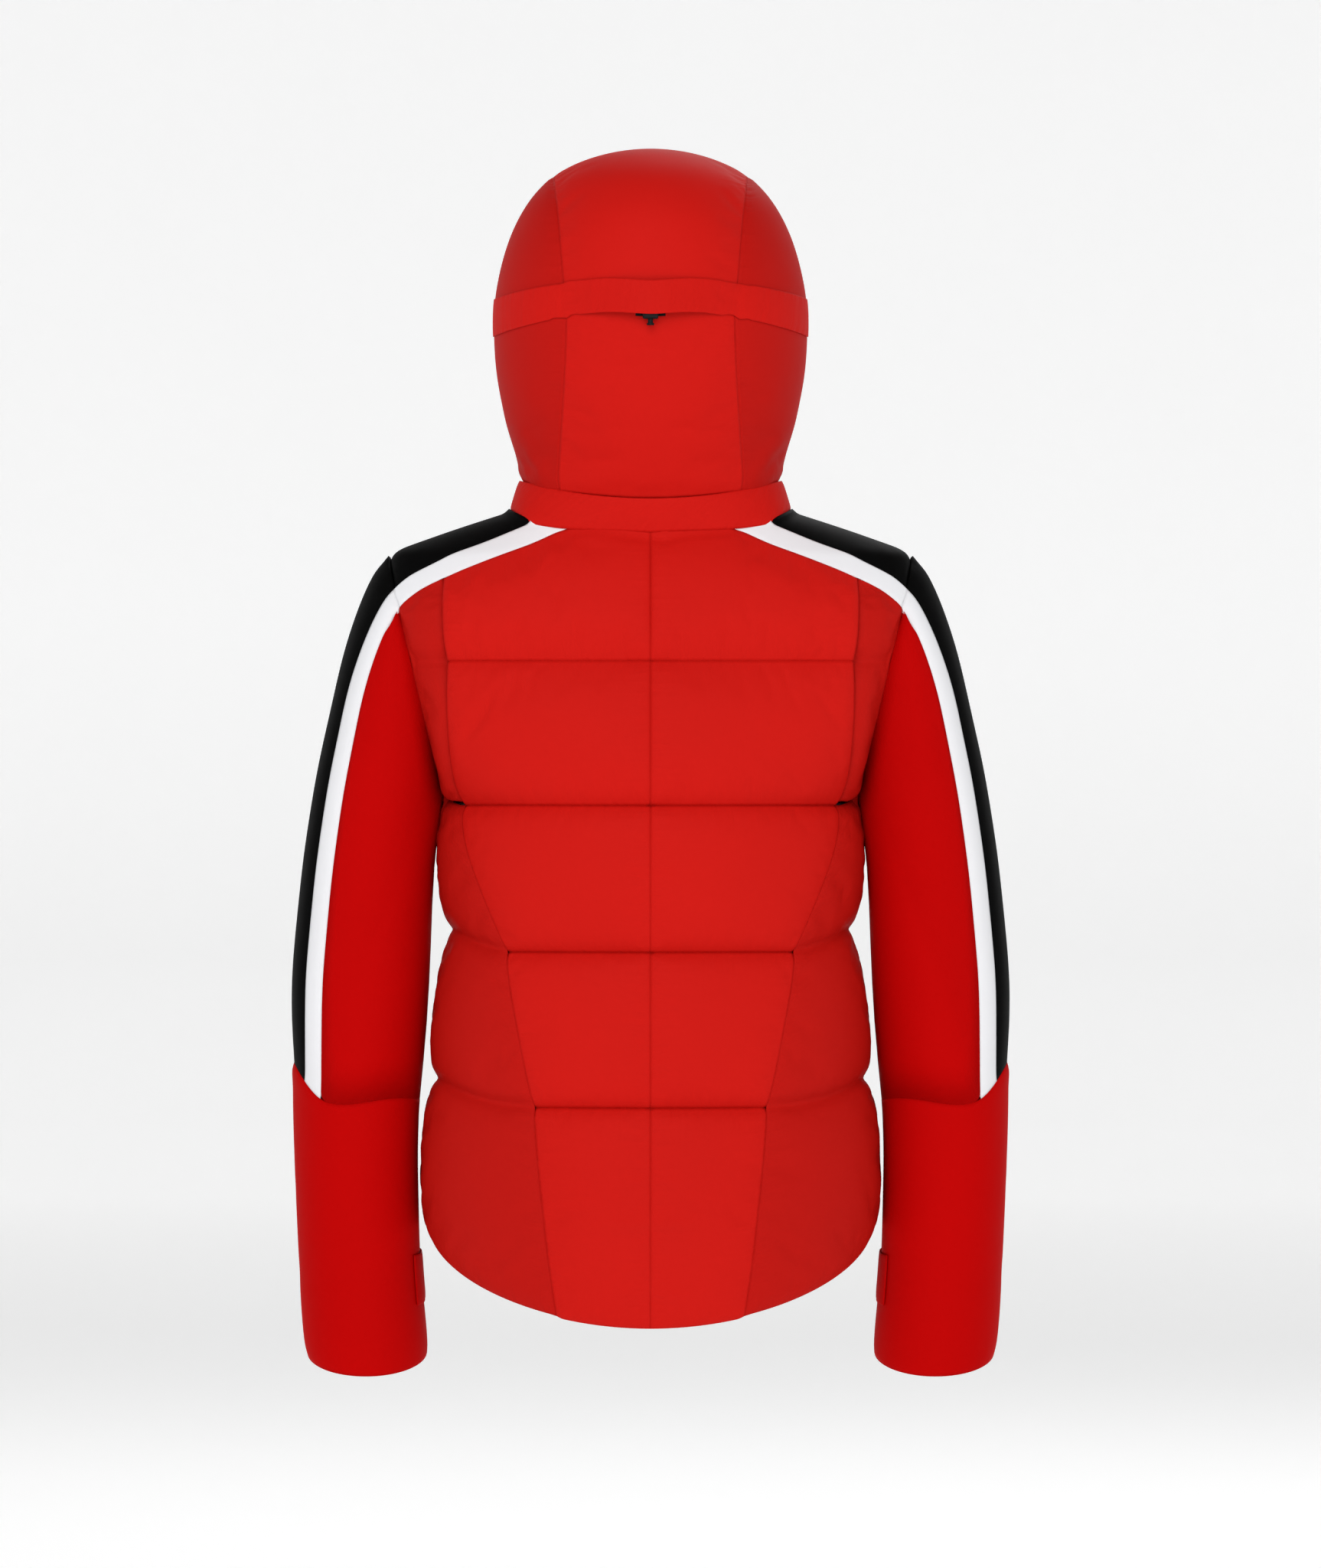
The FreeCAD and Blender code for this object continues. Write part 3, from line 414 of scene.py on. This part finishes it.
def cloth_object(panel):
    """The panel's face as cloth under pressure, pinned along its edges and sewn rows."""
    grid = panel["grid"]
    columns, rows = grid.shape[:2]
    mesh = bpy.data.meshes.new("cloth")
    mesh.from_pydata(grid.reshape(-1, 3).tolist(), [], grid_faces(columns, rows))
    obj = bpy.data.objects.new("cloth", mesh)
    bpy.context.scene.collection.objects.link(obj)
    pin = obj.vertex_groups.new(name="pin")
    index = np.arange(columns * rows).reshape(columns, rows)
    sewn = [index[:, row] for row in (0, rows - 1, *panel["sewn"])]
    rim = np.unique(np.concatenate([index[0], index[-1], *sewn]))
    pin.add(rim.tolist(), 1.0, "REPLACE")
    settings = obj.modifiers.new("Cloth", "CLOTH").settings
    settings.vertex_group_mass = "pin"
    settings.quality = 4
    settings.effector_weights.gravity = 0
    settings.use_pressure = True
    settings.uniform_pressure_force = panel["pressure"]
    settings.shrink_min = -panel["slack"]
    settings.tension_stiffness = 12
    settings.compression_stiffness = 12
    settings.bending_stiffness = 0.4
    return obj


def swell(panels):
    """Simulates all the panels together and keeps each point within its panel's cap."""
    soft = [p for p in panels if p["pressure"]]
    objects = [cloth_object(p) for p in soft]
    scene = bpy.context.scene
    for number in range(1, CLOTH_FRAMES + 1):
        scene.frame_set(number)
    graph = bpy.context.evaluated_depsgraph_get()
    for panel, obj in zip(soft, objects):
        mesh = obj.evaluated_get(graph).to_mesh()
        moved = np.empty(len(mesh.vertices) * 3, np.float32)
        mesh.vertices.foreach_get("co", moved)
        shift = moved.reshape(panel["grid"].shape) - panel["grid"]
        far = np.linalg.norm(shift, axis=2, keepdims=True)
        cap = panel["cap"]
        shift *= cap * np.tanh(far / cap) / np.maximum(far, 1e-9)
        panel["grid"] = panel["grid"] + shift
    for obj in objects:
        data = obj.data
        bpy.data.objects.remove(obj)
        bpy.data.meshes.remove(data)
    scene.frame_set(1)


# Meshes


def link(obj):
    bpy.context.scene.collection.objects.link(obj)
    return obj


def mesh_object(name, points, faces):
    mesh = bpy.data.meshes.new(name)
    mesh.from_pydata([tuple(p) for p in points], [], faces)
    mesh.polygons.foreach_set("use_smooth", [True] * len(mesh.polygons))
    return link(bpy.data.objects.new(name, mesh))


def float_attribute(mesh, name, values):
    layer = mesh.attributes.new(name, "FLOAT", "POINT")
    layer.data.foreach_set("value", np.asarray(values, np.float32).ravel())


def seam_sink(panel, grid):
    """How far the shell is drawn in by its seams: sides, top, bottom and sewn lines."""
    outside, inside = outer_edge_first(grid)
    from_low, from_high = arc_lengths(grid, 1)
    sink = np.zeros(grid.shape[:2])
    for depth, near in zip(panel["rolls"], (inside, outside, from_low, from_high)):
        sink = np.maximum(sink, depth * np.exp(-near / panel["roll_reach"]))
    for row in panel["sewn"]:
        near = np.abs(from_low - from_low[:, row:row + 1])
        sink = np.maximum(sink, panel["quilt"] * np.exp(-near / panel["roll_reach"]))
    return sink


def pad_object(panel):
    """A closed pad: the outer face, its rolled seam edges and a backing."""
    grid = panel["grid"]
    columns, rows = grid.shape[:2]
    normal = panel["normal"]
    a_low, a_high = arc_lengths(grid, 0)
    b_low, b_high = arc_lengths(grid, 1)
    near_a = np.minimum(a_low, a_high)
    near_b = np.minimum(b_low, b_high)
    outer = grid - normal * seam_sink(panel, grid)[..., None]
    inner = grid - normal * panel["wall"]
    points = np.concatenate([outer.reshape(-1, 3), inner.reshape(-1, 3)])
    count = columns * rows
    faces = grid_faces(columns, rows)
    faces += [face[::-1] for face in grid_faces(columns, rows, count)]
    index = np.arange(count).reshape(columns, rows)
    ring = np.concatenate([index[:-1, 0], index[-1, :-1], index[:0:-1, -1], index[0, :0:-1]])
    ring = ring.tolist()
    for here, there in zip(ring, ring[1:] + ring[:1]):
        faces.append([there, here, here + count, there + count])
    obj = mesh_object("jacket_" + panel["node"], points, faces)
    mesh = obj.data
    float_attribute(mesh, "seam_a", np.tile(near_a.ravel(), 2))
    float_attribute(mesh, "seam_b", np.tile(near_b.ravel(), 2))
    uv = np.tile(np.stack([a_low.ravel(), b_low.ravel()], axis=1), (2, 1))
    corner = np.empty(len(mesh.loops), np.int32)
    mesh.loops.foreach_get("vertex_index", corner)
    layer = mesh.uv_layers.new(name="cloth")
    layer.uv.foreach_set("vector", uv[corner].astype(np.float32).ravel())
    crease = mesh.attributes.new("crease_edge", "FLOAT", "EDGE")
    edges = np.empty(len(mesh.edges) * 2, np.int32)
    mesh.edges.foreach_get("vertices", edges)
    on_ring = np.isin(edges.reshape(-1, 2), ring).all(axis=1)
    crease.data.foreach_set("value", on_ring.astype(np.float32))
    corners = np.zeros(len(points))
    corners[[0, rows - 1, count - rows, count - 1]] = 1
    float_attribute(mesh, "crease_vert", corners)
    modifier = obj.modifiers.new("Smooth", "SUBSURF")
    modifier.levels = 1
    modifier.render_levels = 1
    return obj


# Materials


class Shader:
    """A Principled material with small helpers for its nodes."""

    def __init__(self, name, colour, roughness, metallic=0.0):
        self.material = bpy.data.materials.new(name)
        self.material.use_nodes = True
        self.nodes = self.material.node_tree.nodes
        self.links = self.material.node_tree.links
        self.base = self.nodes["Principled BSDF"]
        self.base.inputs["Base Color"].default_value = (*colour, 1)
        self.base.inputs["Roughness"].default_value = roughness
        self.base.inputs["Metallic"].default_value = metallic
        self.base.inputs["Specular IOR Level"].default_value = 0.5
        self.colour = colour

    def node(self, kind, **values):
        made = self.nodes.new(kind)
        for key, value in values.items():
            setattr(made, key, value)
        return made

    def join(self, output, entry):
        self.links.new(output, entry)

    def math(self, operation, first, second=0.0):
        made = self.node("ShaderNodeMath", operation=operation)
        for entry, value in zip(made.inputs, (first, second)):
            if isinstance(value, (int, float)):
                entry.default_value = value
            else:
                self.join(value, entry)
        return made.outputs[0]

    def attribute(self, name):
        return self.node("ShaderNodeAttribute", attribute_name=name).outputs["Fac"]

    def noise(self, scale, detail=3.0, vector=None):
        made = self.node("ShaderNodeTexNoise")
        made.inputs["Scale"].default_value = scale
        made.inputs["Detail"].default_value = detail
        if vector is not None:
            self.join(vector, made.inputs["Vector"])
        return made.outputs["Fac"]

    def place(self):
        return self.node("ShaderNodeTexCoord").outputs["Object"]

    def vary(self, amount, factor):
        """Moves the base colour a little each way of its own value."""
        ramp = self.node("ShaderNodeMix", data_type="RGBA")
        self.join(factor, ramp.inputs["Factor"])
        ramp.inputs["A"].default_value = (*[c * (1 - amount) for c in self.colour], 1)
        ramp.inputs["B"].default_value = (*[min(c * (1 + amount), 1) for c in self.colour], 1)
        self.join(ramp.outputs["Result"], self.base.inputs["Base Color"])

    def bump(self, height, distance, strength=1.0, below=None):
        made = self.node("ShaderNodeBump")
        made.inputs["Distance"].default_value = distance
        made.inputs["Strength"].default_value = strength
        self.join(height, made.inputs["Height"])
        if below is not None:
            self.join(below, made.inputs["Normal"])
        self.join(made.outputs["Normal"], self.base.inputs["Normal"])
        return made.outputs["Normal"]


def weave(shader, pitch):
    """Plain weave from two crossed waves along the cloth's own directions."""
    uv = shader.node("ShaderNodeUVMap", uv_map="cloth").outputs["UV"]
    threads = []
    for direction in ("X", "Y"):
        wave = shader.node("ShaderNodeTexWave", bands_direction=direction)
        wave.inputs["Scale"].default_value = 0.31 / pitch
        wave.inputs["Distortion"].default_value = 0.4
        shader.join(uv, wave.inputs["Vector"])
        threads.append(wave.outputs["Fac"])
    return shader.math("MULTIPLY", threads[0], threads[1])


def puckers(shader, reach):
    """Short gathers that run out from the stitched edges."""
    uv = shader.node("ShaderNodeUVMap", uv_map="cloth").outputs["UV"]
    total = None
    for seam, stretch in (("seam_a", (8, 150, 1)), ("seam_b", (150, 8, 1))):
        mapping = shader.node("ShaderNodeMapping")
        mapping.inputs["Scale"].default_value = stretch
        shader.join(uv, mapping.inputs["Vector"])
        ripple = shader.noise(1.0, 1.0, mapping.outputs["Vector"])
        near = shader.math("MULTIPLY", shader.attribute(seam), -1 / reach)
        fade = shader.math("EXPONENT", near)
        part = shader.math("MULTIPLY", ripple, fade)
        total = part if total is None else shader.math("ADD", total, part)
    return total


def fabric(name, colour, roughness, reach=0.012, gather=0.0012, tint=0.05, shine=0.04):
    shader = Shader(name, colour, roughness)
    place = shader.place()
    shader.vary(tint, shader.noise(7.0, 2.0, place))
    shader.base.inputs["Specular IOR Level"].default_value = shine
    soft = shader.bump(shader.noise(22.0, 2.0, place), 0.0012, 0.5)
    if gather:
        soft = shader.bump(puckers(shader, reach), gather, 0.9, soft)
    shader.bump(weave(shader, 0.7 * MM), 0.00006, 0.6, soft)
    return shader.material


def moulded(name, colour, roughness, metallic=0.0, grain=900.0):
    shader = Shader(name, colour, roughness, metallic)
    place = shader.place()
    shader.vary(0.2, shader.noise(60.0, 3.0, place))
    shader.base.inputs["Specular IOR Level"].default_value = 0.15
    shader.bump(shader.noise(grain, 2.0, place), 0.00005, 0.5)
    return shader.material


RED = (0.55, 0.0085, 0.0055)
MATERIALS = {
    "shell_red": fabric("shell_red", RED, 0.62),
    # The shell red made darker for the side panels and hood sides: painted shade, where these turn
    # away from the lights
    "shell_red_side": fabric("shell_red_side", (0.46, 0.007, 0.0045), 0.62),
    # The shell red made darker for the sleeves and cuff tabs: painted shade, standing in for the arms
    # getting less light
    "shell_red_sleeve": fabric("shell_red_sleeve", (0.47, 0.0014, 0.0014), 0.62, gather=0.0003,
                               shine=0.015),
    "shell_black": fabric("shell_black", (0.0022, 0.0022, 0.0022), 0.6, gather=0.0003, shine=0.02),
    "shell_white": fabric("shell_white", (0.80, 0.80, 0.82), 0.6, gather=0.0003, tint=0.02),
    "zip_plastic": moulded("zip_plastic", (0.01, 0.01, 0.011), 0.45),
    "welt_black": moulded("welt_black", (0.012, 0.012, 0.013), 0.6, grain=1400.0),
    "zip_metal": moulded("zip_metal", (0.02, 0.02, 0.022), 0.3, 0.9),
    "binding": fabric("binding", (0.45, 0.006, 0.005), 0.6, gather=0.0004),
    "elastic": fabric("elastic", (0.008, 0.008, 0.008), 0.75, gather=0.0),
    "lock_plastic": moulded("lock_plastic", (0.003, 0.003, 0.0035), 0.5),
    "lining": fabric("lining", (0.03, 0.03, 0.033), 0.45, gather=0.0008),
}


# Soft pieces


def panel(node, slot, wall=5.0, rolls=0.8, reach=3.0, pressure=0.0, slack=0.0, cap=3.0,
          cell=5.0, lines=(), quilt=0.0, notched=False, fade=(False, False)):
    """A soft piece before its mesh is made, with sizes in mm.

    rolls is how far its edges sink: inside, outside, bottom and top. quilt is the same for its
    sewn lines, and reach is the length over which both die out.
    """
    depths = rolls if isinstance(rolls, tuple) else (rolls,) * 4
    grid = outer_grid(node, cell * MM, notched)
    return {"node": node, "slot": slot, "grid": grid, "normal": grid_normals(grid),
            "wall": wall * MM, "rolls": [d * MM for d in depths], "roll_reach": reach * MM,
            "pressure": pressure, "slack": slack, "cap": cap * MM,
            "lines": lines, "sewn": [], "quilt": quilt * MM,
            "fade_inside": fade[0], "fade_outside": fade[1]}


# How far the five rows of the back sink at their bottom and top seams, lowest row first
ROW_LOW_ROLLS = (1.5, 4.2, 4.2, 4.2, 1.5)
ROW_HIGH_ROLLS = (4.2, 4.2, 4.2, 1.5, 0.0)


def torso_panels(side):
    made = []
    body = {"reach": 7.0, "pressure": 3.0, "slack": 0.02}
    for row, (low, high) in enumerate(zip(ROW_LOW_ROLLS, ROW_HIGH_ROLLS), start=1):
        made.append(panel(f"back_baffle_{row}_{side}", "shell_red",
                          rolls=(0.05, 1.2, low, high), **body))
    upper = {"lines": [CHEST_LINE], "quilt": 1.5, **body}
    lower = {"lines": QUILT_LINES, "quilt": 4.2, **body}
    # The side panels and the lower fronts take the darker red of painted shade
    made.append(panel(f"back_side_upper_{side}", "shell_red_side",
                      rolls=(1.2, 0.2, 4.2, 0.3), fade=(False, True), **upper))
    made.append(panel(f"back_side_lower_{side}", "shell_red_side",
                      rolls=(1.2, 0.3, 1.5, 4.2), **lower))
    made.append(panel(f"front_upper_{side}", "shell_red",
                      rolls=(1.0, 0.2, 4.2, 0.3), fade=(True, True), **upper))
    made.append(panel(f"front_lower_{side}", "shell_red_side",
                      rolls=(1.0, 0.3, 1.5, 4.2), fade=(True, False), **lower))
    return made


def stripe_panels(side):
    made = [panel(f"shoulder_black_{side}", "shell_black", rolls=0.2),
            panel(f"sleeve_black_{side}", "shell_black", rolls=0.2, cell=6.0)]
    for face in ("back", "front"):
        made.append(panel(f"shoulder_white_{face}_{side}", "shell_white", rolls=0.2))
        made.append(panel(f"sleeve_white_{face}_{side}", "shell_white", rolls=0.2, cell=6.0))
    return made


def sleeve_panels(side):
    # The sleeves take the darker red of painted shade
    upper = panel(f"sleeve_upper_{side}", "shell_red_sleeve", rolls=(0.3, 0.3, 0.0, 0.2), cell=6.5)
    forearm = panel(f"sleeve_forearm_{side}", "shell_red_sleeve", rolls=(0.0, 0.0, 1.2, 0.0),
                    cell=6.5)
    closed = (forearm["grid"][0] + forearm["grid"][-1]) / 2
    forearm["grid"][0] = closed
    forearm["grid"][-1] = closed
    return [upper, forearm]


def hood_panels():
    puffed = {"rolls": (0.4, 0.4, 3.6, 0.4), "reach": 8.0, "pressure": 1.5, "slack": 0.01, "cap": 2.0}
    made = [panel("hood_centre", "shell_red", **puffed)]
    for side in SIDES:
        # The hood sides take the darker red of painted shade
        made.append(panel(f"hood_side_{side}", "shell_red_side", **puffed))
    return made


def small_panels():
    band = panel("hood_base_band", "shell_red", wall=3.6, rolls=0.9, cell=4.0)
    reach_down(band, BAND_DROP)
    made = [band,
            panel("collar", "shell_red", wall=3.6, rolls=0.8),
            panel("hood_rim", "binding", wall=3.0, rolls=0.8, cell=3.0),
            panel("hanger_loop", "elastic", wall=1.4, rolls=0.2, cell=1.5),
            panel("lining_lower", "lining", wall=1.0, rolls=0.0, cell=9.0),
            panel("lining_upper", "lining", wall=1.0, rolls=0.0, cell=9.0)]
    return made


BAND_HUGS_FROM = 30 * MM     # where the adjuster band starts to lie down on the hood
BAND_HUGS_AT = 66 * MM       # and where it has
LOCK_BULGE = 5.6 * MM        # how far the band stands out over the cord lock
LOCK_BULGE_REACH = 26 * MM
LOCK_COVER = 4.5 * MM        # and how far it hangs down over it
BAND_LIES = 1.7 * MM         # the band's ends lie this far over the hood
ELASTIC_SINKS = 3.0 * MM     # the elastic goes into the hood beyond the lock
ELASTIC_HUGS = (8 * MM, 18 * MM)
TAB_LIES = 2.0 * MM


def lie_on(panel, tree, height, hugs=(BAND_HUGS_FROM, BAND_HUGS_AT)):
    """Lays a strap's ends down on the surface below it, from one half width to another."""
    grid = panel["grid"]
    for i in range(grid.shape[0]):
        for j in range(grid.shape[1]):
            place, normal = tree.find_nearest(Vector(grid[i, j]))[:2]
            far = (Vector(grid[i, j]) - place).length
            share = (abs(grid[i, j, 0]) - hugs[0]) / (hugs[1] - hugs[0])
            share = min(max(share, 0), 1)
            share = share * share * (3 - 2 * share)
            grid[i, j] = place + normal * (far + (height - far) * share)


def surface_of(panels):
    """All the panels' faces as one tree to measure from."""
    points = []
    faces = []
    for one in panels:
        faces += grid_faces(*one["grid"].shape[:2], first=len(points))
        points += one["grid"].reshape(-1, 3).tolist()
    return BVHTree.FromPolygons(points, faces)


def cuff_tabs(arms):
    """The tabs at the cuffs, lying on the forearms."""
    tree = surface_of(arms)
    made = []
    for side in SIDES:
        # The cuff tab takes the sleeves' darker red of painted shade
        tab = panel(f"cuff_tab_{side}", "shell_red_sleeve", wall=1.6, rolls=0.5, cell=3.0)
        lie_on(tab, tree, TAB_LIES)
        made.append(tab)
    return made


def strap_panels(hood):
    """The adjuster band and its elastic, lying on the finished hood."""
    tree = surface_of(hood)
    band = panel("hood_adjuster_band", "shell_red", wall=1.6, rolls=0.5, cell=3.0, notched=True)
    elastic = panel("hood_elastic", "elastic", wall=1.2, rolls=0.2, cell=2.5)
    over_lock = np.exp(-(band["grid"][..., 0] / LOCK_BULGE_REACH) ** 2)
    band["grid"] += band["normal"] * (LOCK_BULGE * over_lock)[..., None]
    band["grid"][..., 2] -= LOCK_COVER * over_lock
    lie_on(band, tree, BAND_LIES)
    lie_on(elastic, tree, -ELASTIC_SINKS, ELASTIC_HUGS)
    return [band, elastic]


def body_of_node(node):
    """The moving body that a node belongs to."""
    for body, members in frame["record"]["behaviour"]["bodies"].items():
        if node in members:
            return body
    raise KeyError(node)


def attach(obj, node):
    """Rides a piece on its node's body; sleeve pieces instead keep their place baked into the mesh.
    """
    body = body_of_node(node)
    if body.startswith("sleeve_"):
        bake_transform(obj)
    else:
        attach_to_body(obj, body)


SHOULDER_ROUND = 18 * MM     # the armhole's corner is rounded this far either side
SHOULDER_SINK = 4.2 * MM     # and taken in this much at its tip
SHOULDER_FADE = (-70 * MM, -20 * MM)    # from nothing at the first height to all at the second
SHOULDER_IN, SHOULDER_DOWN = 0.5, 0.85  # shares of that which go inwards and down


def round_shoulder(grid):
    """Rounds the corner between the shoulder and the top of the sleeve."""
    side = np.sign(grid[..., 0])
    far = armhole_distance(grid)
    high = (grid[..., 2] - SHOULDER_FADE[0]) / (SHOULDER_FADE[1] - SHOULDER_FADE[0])
    high = np.clip(high, 0, 1)
    sink = SHOULDER_SINK * np.clip(1 - far / SHOULDER_ROUND, 0, 1) ** 2
    sink *= high * high * (3 - 2 * high)
    grid[..., 0] -= side * sink * SHOULDER_IN
    grid[..., 2] -= sink * SHOULDER_DOWN


NECK_Z = -20 * MM            # free torso edges above this lie along the neck
NECK_LIFT = 3.0 * MM         # they run up this far under the base band
NECK_LIFT_MORE = 6.0 * MM    # added at centre back, fading out over the neck's half width
NECK_MIDDLE = 66 * MM
HOOD_TUCK_DOWN = 6 * MM      # the hood's lower edge runs down behind its base band
HOOD_TUCK_IN = 2 * MM
BAND_DROP = 2.5 * MM         # and the band hangs down over the neck seam


def tuck_neck(panel):
    """Runs the body's neck edge up under the hood's base band."""
    i, j = panel["free"]
    high = panel["grid"][i, j, 2] > NECK_Z
    i, j = i[high], j[high]
    middle = np.clip(1 - np.abs(panel["grid"][i, j, 0]) / NECK_MIDDLE, 0, 1)
    panel["grid"][i, j, 2] += NECK_LIFT + NECK_LIFT_MORE * middle


def reach_down(panel, drop, inwards=0.0):
    """Lets a panel's lower edge hang lower, and stand farther in."""
    edge = panel["grid"][:, 0]
    edge[:, 2] -= drop
    edge -= panel["normal"][:, 0] * inwards


def all_panels():
    """Every soft piece as a panel: shaped, sewn to its neighbours and swollen."""
    torso = []
    arms = []
    for side in SIDES:
        torso += torso_panels(side)
        arms += stripe_panels(side) + sleeve_panels(side)
    for one in torso:
        fill_rows(one)
    for one in arms:
        if one["node"].startswith("sleeve"):
            slant_elbow(one["grid"], one["normal"])
    hood = hood_panels()
    sew_together(torso + arms, ARMHOLE_SEW, [1] * len(torso) + [2] * len(arms))
    sew_together(torso + arms)
    sew_together(hood)
    for one in torso + arms:
        tuck_neck(one)
        round_shoulder(one["grid"])
    for one in hood:
        reach_down(one, HOOD_TUCK_DOWN, HOOD_TUCK_IN)
    swell(torso + hood)
    return torso + arms + hood + strap_panels(hood) + small_panels() + cuff_tabs(arms)


def make_soft():
    for one in all_panels():
        obj = pad_object(one)
        obj.data.materials.append(MATERIALS[one["slot"]])
        attach(obj, one["node"])
        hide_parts(one["node"])


# Hard pieces keep their CAD shapes


def make_hard():
    for item in frame["record"]["subparts"]:
        node = NODES[item["node"]]
        node.data.materials.clear()
        node.data.materials.append(MATERIALS[item["material_slot"]])


# Studio


FRAME_CENTRE = Vector((0.0083, 0.0, -0.210))
FRAME_HEIGHT = 1.3107
CAMERA_DISTANCE = 9.0
SENSOR = 36.0
LIGHTS_AIM = Vector((0, 0, -0.2))


def make_camera():
    data = bpy.data.cameras.new("camera")
    data.sensor_width = SENSOR
    data.lens = SENSOR * CAMERA_DISTANCE / FRAME_HEIGHT
    data.clip_end = 60
    camera = link(bpy.data.objects.new("camera", data))
    camera.location = FRAME_CENTRE + Vector((0, -CAMERA_DISTANCE, 0))
    camera.rotation_euler = (math.pi / 2, 0, 0)
    bpy.context.scene.camera = camera


def area_light(name, place, size, power):
    data = bpy.data.lights.new(name, "AREA")
    data.size = size
    data.energy = power
    light = link(bpy.data.objects.new(name, data))
    light.location = place
    aim = LIGHTS_AIM - Vector(place)
    light.rotation_euler = aim.to_track_quat("-Z", "Y").to_euler()


# Radius and height of the floor and of the wall that it curves up into
STUDIO_PROFILE = [(0.0, -1.05), (13.0, -1.05), (14.2, -0.95), (15.0, -0.6), (15.4, 0.2),
                  (15.5, 8.0)]
STUDIO_SIDES = 64
STUDIO_GLOW = 0.34           # it gives this much light of its own
SKY = 0.30


def make_studio():
    """A round pale floor that curves up into a wall, and soft lights from both sides."""
    points = []
    for k in range(STUDIO_SIDES):
        angle = 2 * math.pi * k / STUDIO_SIDES
        points += [(radius * math.cos(angle), radius * math.sin(angle), height)
                   for radius, height in STUDIO_PROFILE]
    count = len(STUDIO_PROFILE)
    faces = []
    for k in range(STUDIO_SIDES):
        here, there = k * count, (k + 1) % STUDIO_SIDES * count
        faces += [(here + j, there + j, there + j + 1, here + j + 1) for j in range(count - 1)]
    floor = mesh_object("studio_floor", points, faces)
    shader = Shader("studio_pale", (0.88, 0.88, 0.88), 0.9)
    shader.vary(0.01, shader.noise(3.0, 2.0, shader.place()))
    shader.base.inputs["Emission Color"].default_value = (1, 1, 1, 1)
    shader.base.inputs["Emission Strength"].default_value = STUDIO_GLOW
    floor.data.materials.append(shader.material)
    area_light("key", (-0.6, -4.0, 2.2), 2.4, 84)
    area_light("fill", (1.8, -4.2, 0.6), 3.0, 16)
    area_light("front_key", (0.8, 3.8, 3.0), 2.4, 60)
    world = bpy.data.worlds.new("studio")
    world.use_nodes = True
    world.node_tree.nodes["Background"].inputs["Color"].default_value = (1, 1, 1, 1)
    world.node_tree.nodes["Background"].inputs["Strength"].default_value = SKY
    bpy.context.scene.world = world
    bpy.context.scene.view_settings.view_transform = "Standard"


make_soft()
make_hard()
make_camera()
make_studio()
